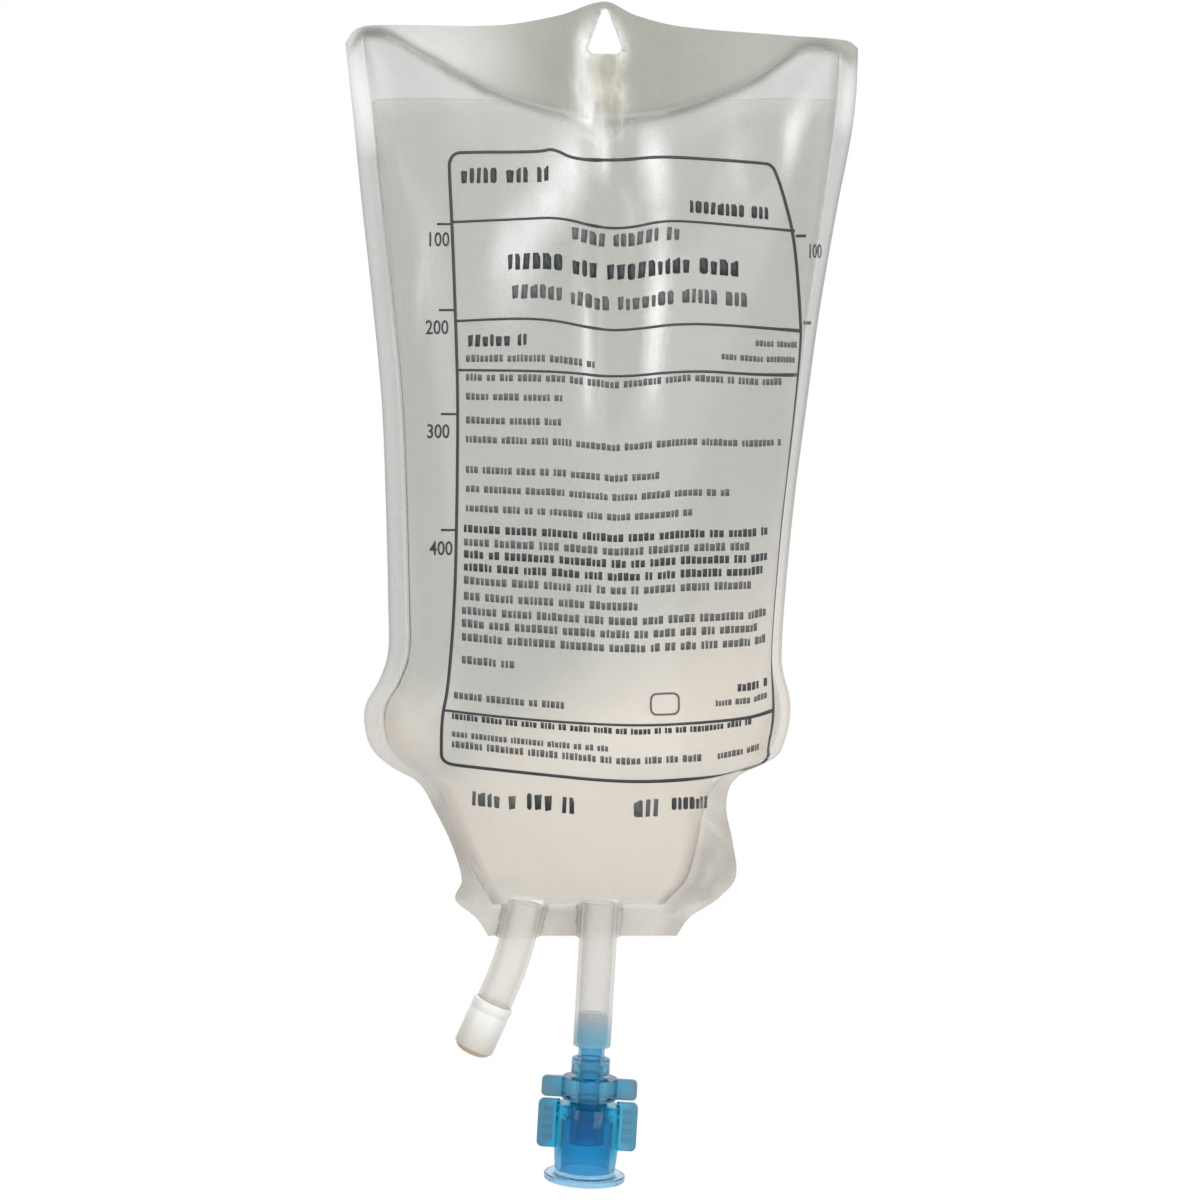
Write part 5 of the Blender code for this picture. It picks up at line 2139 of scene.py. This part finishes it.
@dataclass
class TwistOffCap:
    """Blue cap over the nozzle, with two ribbed wings and a round foot flange."""

    end: Vector
    top: float = 13.7 * MM
    gap: float = 0.5 * MM
    height: float = 18.2 * MM
    radius: float = 8.0 * MM
    foot_radius: float = 7.5 * MM
    wall: float = 1.4 * MM
    collar_height: float = 2.4 * MM
    collar: float = 4.9 * MM
    floor: float = 2.0 * MM
    flange_radius: float = 10.1 * MM
    flange: float = 1.6 * MM
    wing_reach: float = 12.4 * MM
    wing_height: float = 12.1 * MM
    wing_thickness: float = 2.0 * MM
    wing_corner: float = 1.4 * MM
    rim: float = 0.8 * MM
    rim_height: float = 0.4 * MM
    ribs: int = 4
    rib_width: float = 0.7 * MM
    rib_corner: float = 0.25 * MM
    rib_soft: float = 0.2 * MM
    wing_soft: float = 0.35 * MM
    soft: float = 0.3 * MM
    sharp: float = 35.0
    grip_from: Span = (0.2 * MM, 0.8 * MM)
    grip_foot: float = 0.5 * MM
    foot_pale: Span = (1.0 * MM, 0.1 * MM)

    def profile(self) -> list[Point2]:
        """Lays the profile of the turned body.

        Returns:
            Points of (radius, depth).
        """
        body, foot = self.top + 2 * self.gap, self.top + self.height
        inner, soft = self.foot_radius - self.wall, self.soft
        below = foot + self.flange
        return [
            (0.0, foot - self.floor + self.flange),
            (inner - soft, foot - self.floor + self.flange),
            (inner, foot - self.floor + self.flange - soft),
            (inner, body + self.collar_height + inner - self.collar),
            (self.collar, body + self.collar_height),
            (self.collar, body),
            (self.radius - soft, body),
            (self.radius - 0.3 * soft, body + 0.3 * soft),
            (self.radius, body + soft),
            (self.radius, self.top + self.wing_height),
            (self.foot_radius, foot - 1.6 * soft),
            (self.foot_radius + 0.4 * soft, foot - 0.4 * soft),
            (self.foot_radius + 1.6 * soft, foot),
            (self.flange_radius - soft, foot),
            (self.flange_radius, foot + soft),
            (self.flange_radius, below - soft),
            (self.flange_radius - soft, below),
            (0.0, below),
        ]

    def build(self) -> bpy.types.Object:
        """Builds the cap as one moulding.

        Returns:
            The cap.
        """
        deep, pale, grey = (0.004, 0.46, 0.73), (0.40, 0.69, 0.92), (0.08, 0.25, 0.38)
        finish = MouldedFinish("blue_cap_clear", deep, pale, grey, gloss=0.2)
        cap = turned("cap_moulding", self.profile(), finish)
        high, low = -self.top, -self.top - self.wing_height
        pitch = (self.wing_height - 2 * self.wing_corner) / self.ribs
        inner = (self.radius + self.foot_radius - self.wall) / 2
        near, far = self.radius + self.rim, self.wing_reach - self.wing_corner
        half = self.wing_thickness / 2
        for side in (-1, 1):
            ends = (side * inner, low), (side * self.wing_reach, high)
            wing = block("wing", *ends, half, self.wing_corner, self.wing_soft, finish)
            combine(cap, wing, Operation.JOIN)
            for index in range(self.ribs):
                z = high - self.wing_corner - pitch * (index + 0.5)
                ends = (side * near, z - self.rib_width / 2), (side * far, z + self.rib_width / 2)
                rib = block("rib", *ends, half + self.rim_height, self.rib_corner, self.rib_soft, finish)
                combine(cap, rib, Operation.JOIN)
        self.shade(cap.data)
        smoothed(cap, self.sharp)
        on_axis(cap, self.end, FORM.tubes.supply_tilt)
        return finished(cap, Body.CAP, "blue_cap", "twist_off_cap")

    def shade(self, mesh: bpy.types.Mesh) -> None:
        """Masks the pale foot and the two wings, with painted light on the right one.

        Args:
            mesh: The cap's mesh, still on Z.
        """
        x, _, z = points_of(mesh).T
        foot, low = -self.top - self.height, -self.top - self.wing_height
        wings = smooth(*(self.radius + past for past in self.grip_from), np.abs(x))
        wings = wings * (z > low - self.grip_foot)
        # Painted light: the right wing paler and less grey than the left, through the thin and grip masks
        lit = wings * (x > 0)
        pale = smooth(*(foot + above for above in self.foot_pale), z)
        set_mask(mesh, "thin", np.maximum(pale, 0.5 * lit))
        set_mask(mesh, "grip", wings * (1 - 0.15 * lit))


@dataclass(frozen=True)
class Lamp:
    """Soft area lamp that looks at the bag."""

    name: str
    place: tuple[float, float, float]
    width: float
    height: float
    power: float

    def build(self, aim: Sequence[float]) -> None:
        """Makes the lamp.

        Args:
            aim: Point that it looks at.
        """
        data = bpy.data.lights.new(self.name, "AREA")
        data.shape = "RECTANGLE"
        data.size, data.size_y = self.width, self.height
        data.energy = self.power
        lamp = linked(self.name, data)
        lamp.visible_transmission = False
        aimed(lamp, self.place, aim)


WHITE = (1.0, 1.0, 1.0, 1.0)


@dataclass
class Studio:
    """Pale floor far below the bag, soft lamps, and a white background."""

    floor_z: float = -0.75
    floor_radius: float = 0.9
    floor_colour: Colour = (0.86, 0.86, 0.85)
    fade_start: float = 0.35
    fade_rate: float = 1.7
    ambient: float = 0.33
    aim: tuple[float, float, float] = (0.0, 0.0, -0.12)
    lamps: tuple[Lamp, ...] = (
        Lamp("lamp_right", (0.75, -0.95, 0.2), 0.75, 1.1, 9.0),
        Lamp("lamp_left", (-0.75, -0.90, 0.3), 0.40, 0.9, 4.0),
        Lamp("lamp_above", (0.0, -0.3, 1.1), 0.8, 0.8, 6.0),
        Lamp("lamp_behind", (-0.2, 0.9, 0.85), 0.9, 0.9, 9.0),
    )

    def build(self) -> None:
        """Builds the world, the lamps and the floor."""
        self.world()
        for lamp in self.lamps:
            lamp.build(self.aim)
        self.floor()
        bpy.context.scene.view_settings.view_transform = "Standard"

    def seen(self, bench: Bench) -> Link:
        """Finds the rays that show the background.

        Args:
            bench: Tree of the floor or the world.

        Returns:
            1 for rays from the camera, off a gloss or through glass, else 0.
        """
        names = ("Is Camera Ray", "Is Glossy Ray", "Is Transmission Ray")
        camera, glossy, through_glass = (bench.node("ShaderNodeLightPath", output=name) for name in names)
        return (camera + glossy + through_glass).clamped()

    def world(self) -> None:
        """Makes the world white to look at and a plain grey as light."""
        world = bpy.data.worlds.new("studio")
        bpy.context.scene.world = world
        world.use_nodes = True
        bench = Bench(world.node_tree)
        strength = self.ambient + self.seen(bench) * (1.0 - self.ambient)
        light = bench.node("ShaderNodeBackground", None, {"Color": WHITE, "Strength": strength})
        bench.node("ShaderNodeOutputWorld", None, {"Surface": light})

    def floor(self) -> None:
        """Makes the round floor, which keeps the bag's shadow and fades into the background."""
        steps = 96
        turns = [2 * math.pi * step / steps for step in range(steps)]
        radius = self.floor_radius
        ring = [(radius * math.cos(turn), radius * math.sin(turn), self.floor_z) for turn in turns]
        mesh = bpy.data.meshes.new("floor")
        mesh.from_pydata(ring, [], [tuple(range(steps))])
        floor = linked("floor", mesh)
        material = bpy.data.materials.new("floor")
        material.use_nodes = True
        bench = Bench(material.node_tree)
        flat, length = {"operation": "MULTIPLY"}, {"operation": "LENGTH"}
        spread = bench.node("ShaderNodeVectorMath", flat, {0: bench.place(), 1: (1, 1, 0)})
        away = bench.node("ShaderNodeVectorMath", length, {0: spread}, output="Value")
        fade = ((away * (1.0 / radius) - self.fade_start) * self.fade_rate).clamped() * self.seen(bench)
        plain = bench.node("ShaderNodeBsdfDiffuse", None, {"Color": (*self.floor_colour, 1.0)})
        white = bench.node("ShaderNodeEmission", None, {"Color": WHITE, "Strength": 1.0})
        mixed = bench.node("ShaderNodeMixShader", None, {0: fade, 1: plain, 2: white})
        bench.node("ShaderNodeOutputMaterial", None, {"Surface": mixed})
        mesh.materials.append(material)


def main() -> None:
    """Builds the camera, the bag from its film inwards and down to the cap, and the studio."""
    logging.basicConfig(level=logging.INFO, format="%(name)s: %(message)s")
    VIEW.build()
    FilmPouch().build()
    LiquidFill().build()
    LabelPrint().build()
    supply, site = supply_route(), site_route()
    wide, slim = FORM.tubes.supply_diameter, FORM.tubes.site_diameter
    PortTube("supply_tube", "administration_port_tube", supply, wide, stem=9.0 * MM).build()
    milky = TubeFinish("tube_milky", (0.95, 0.92, 0.85), (0.84, 0.80, 0.73), alpha=0.34)
    PortTube("site_tube", "injection_port_tube", site, slim, milky).build()
    InjectionSite(site[-1]).build()
    SpikePort(supply[-1]).build()
    TwistOffCap(supply[-1]).build()
    Studio().build()


if __name__ == "__main__":
    main()
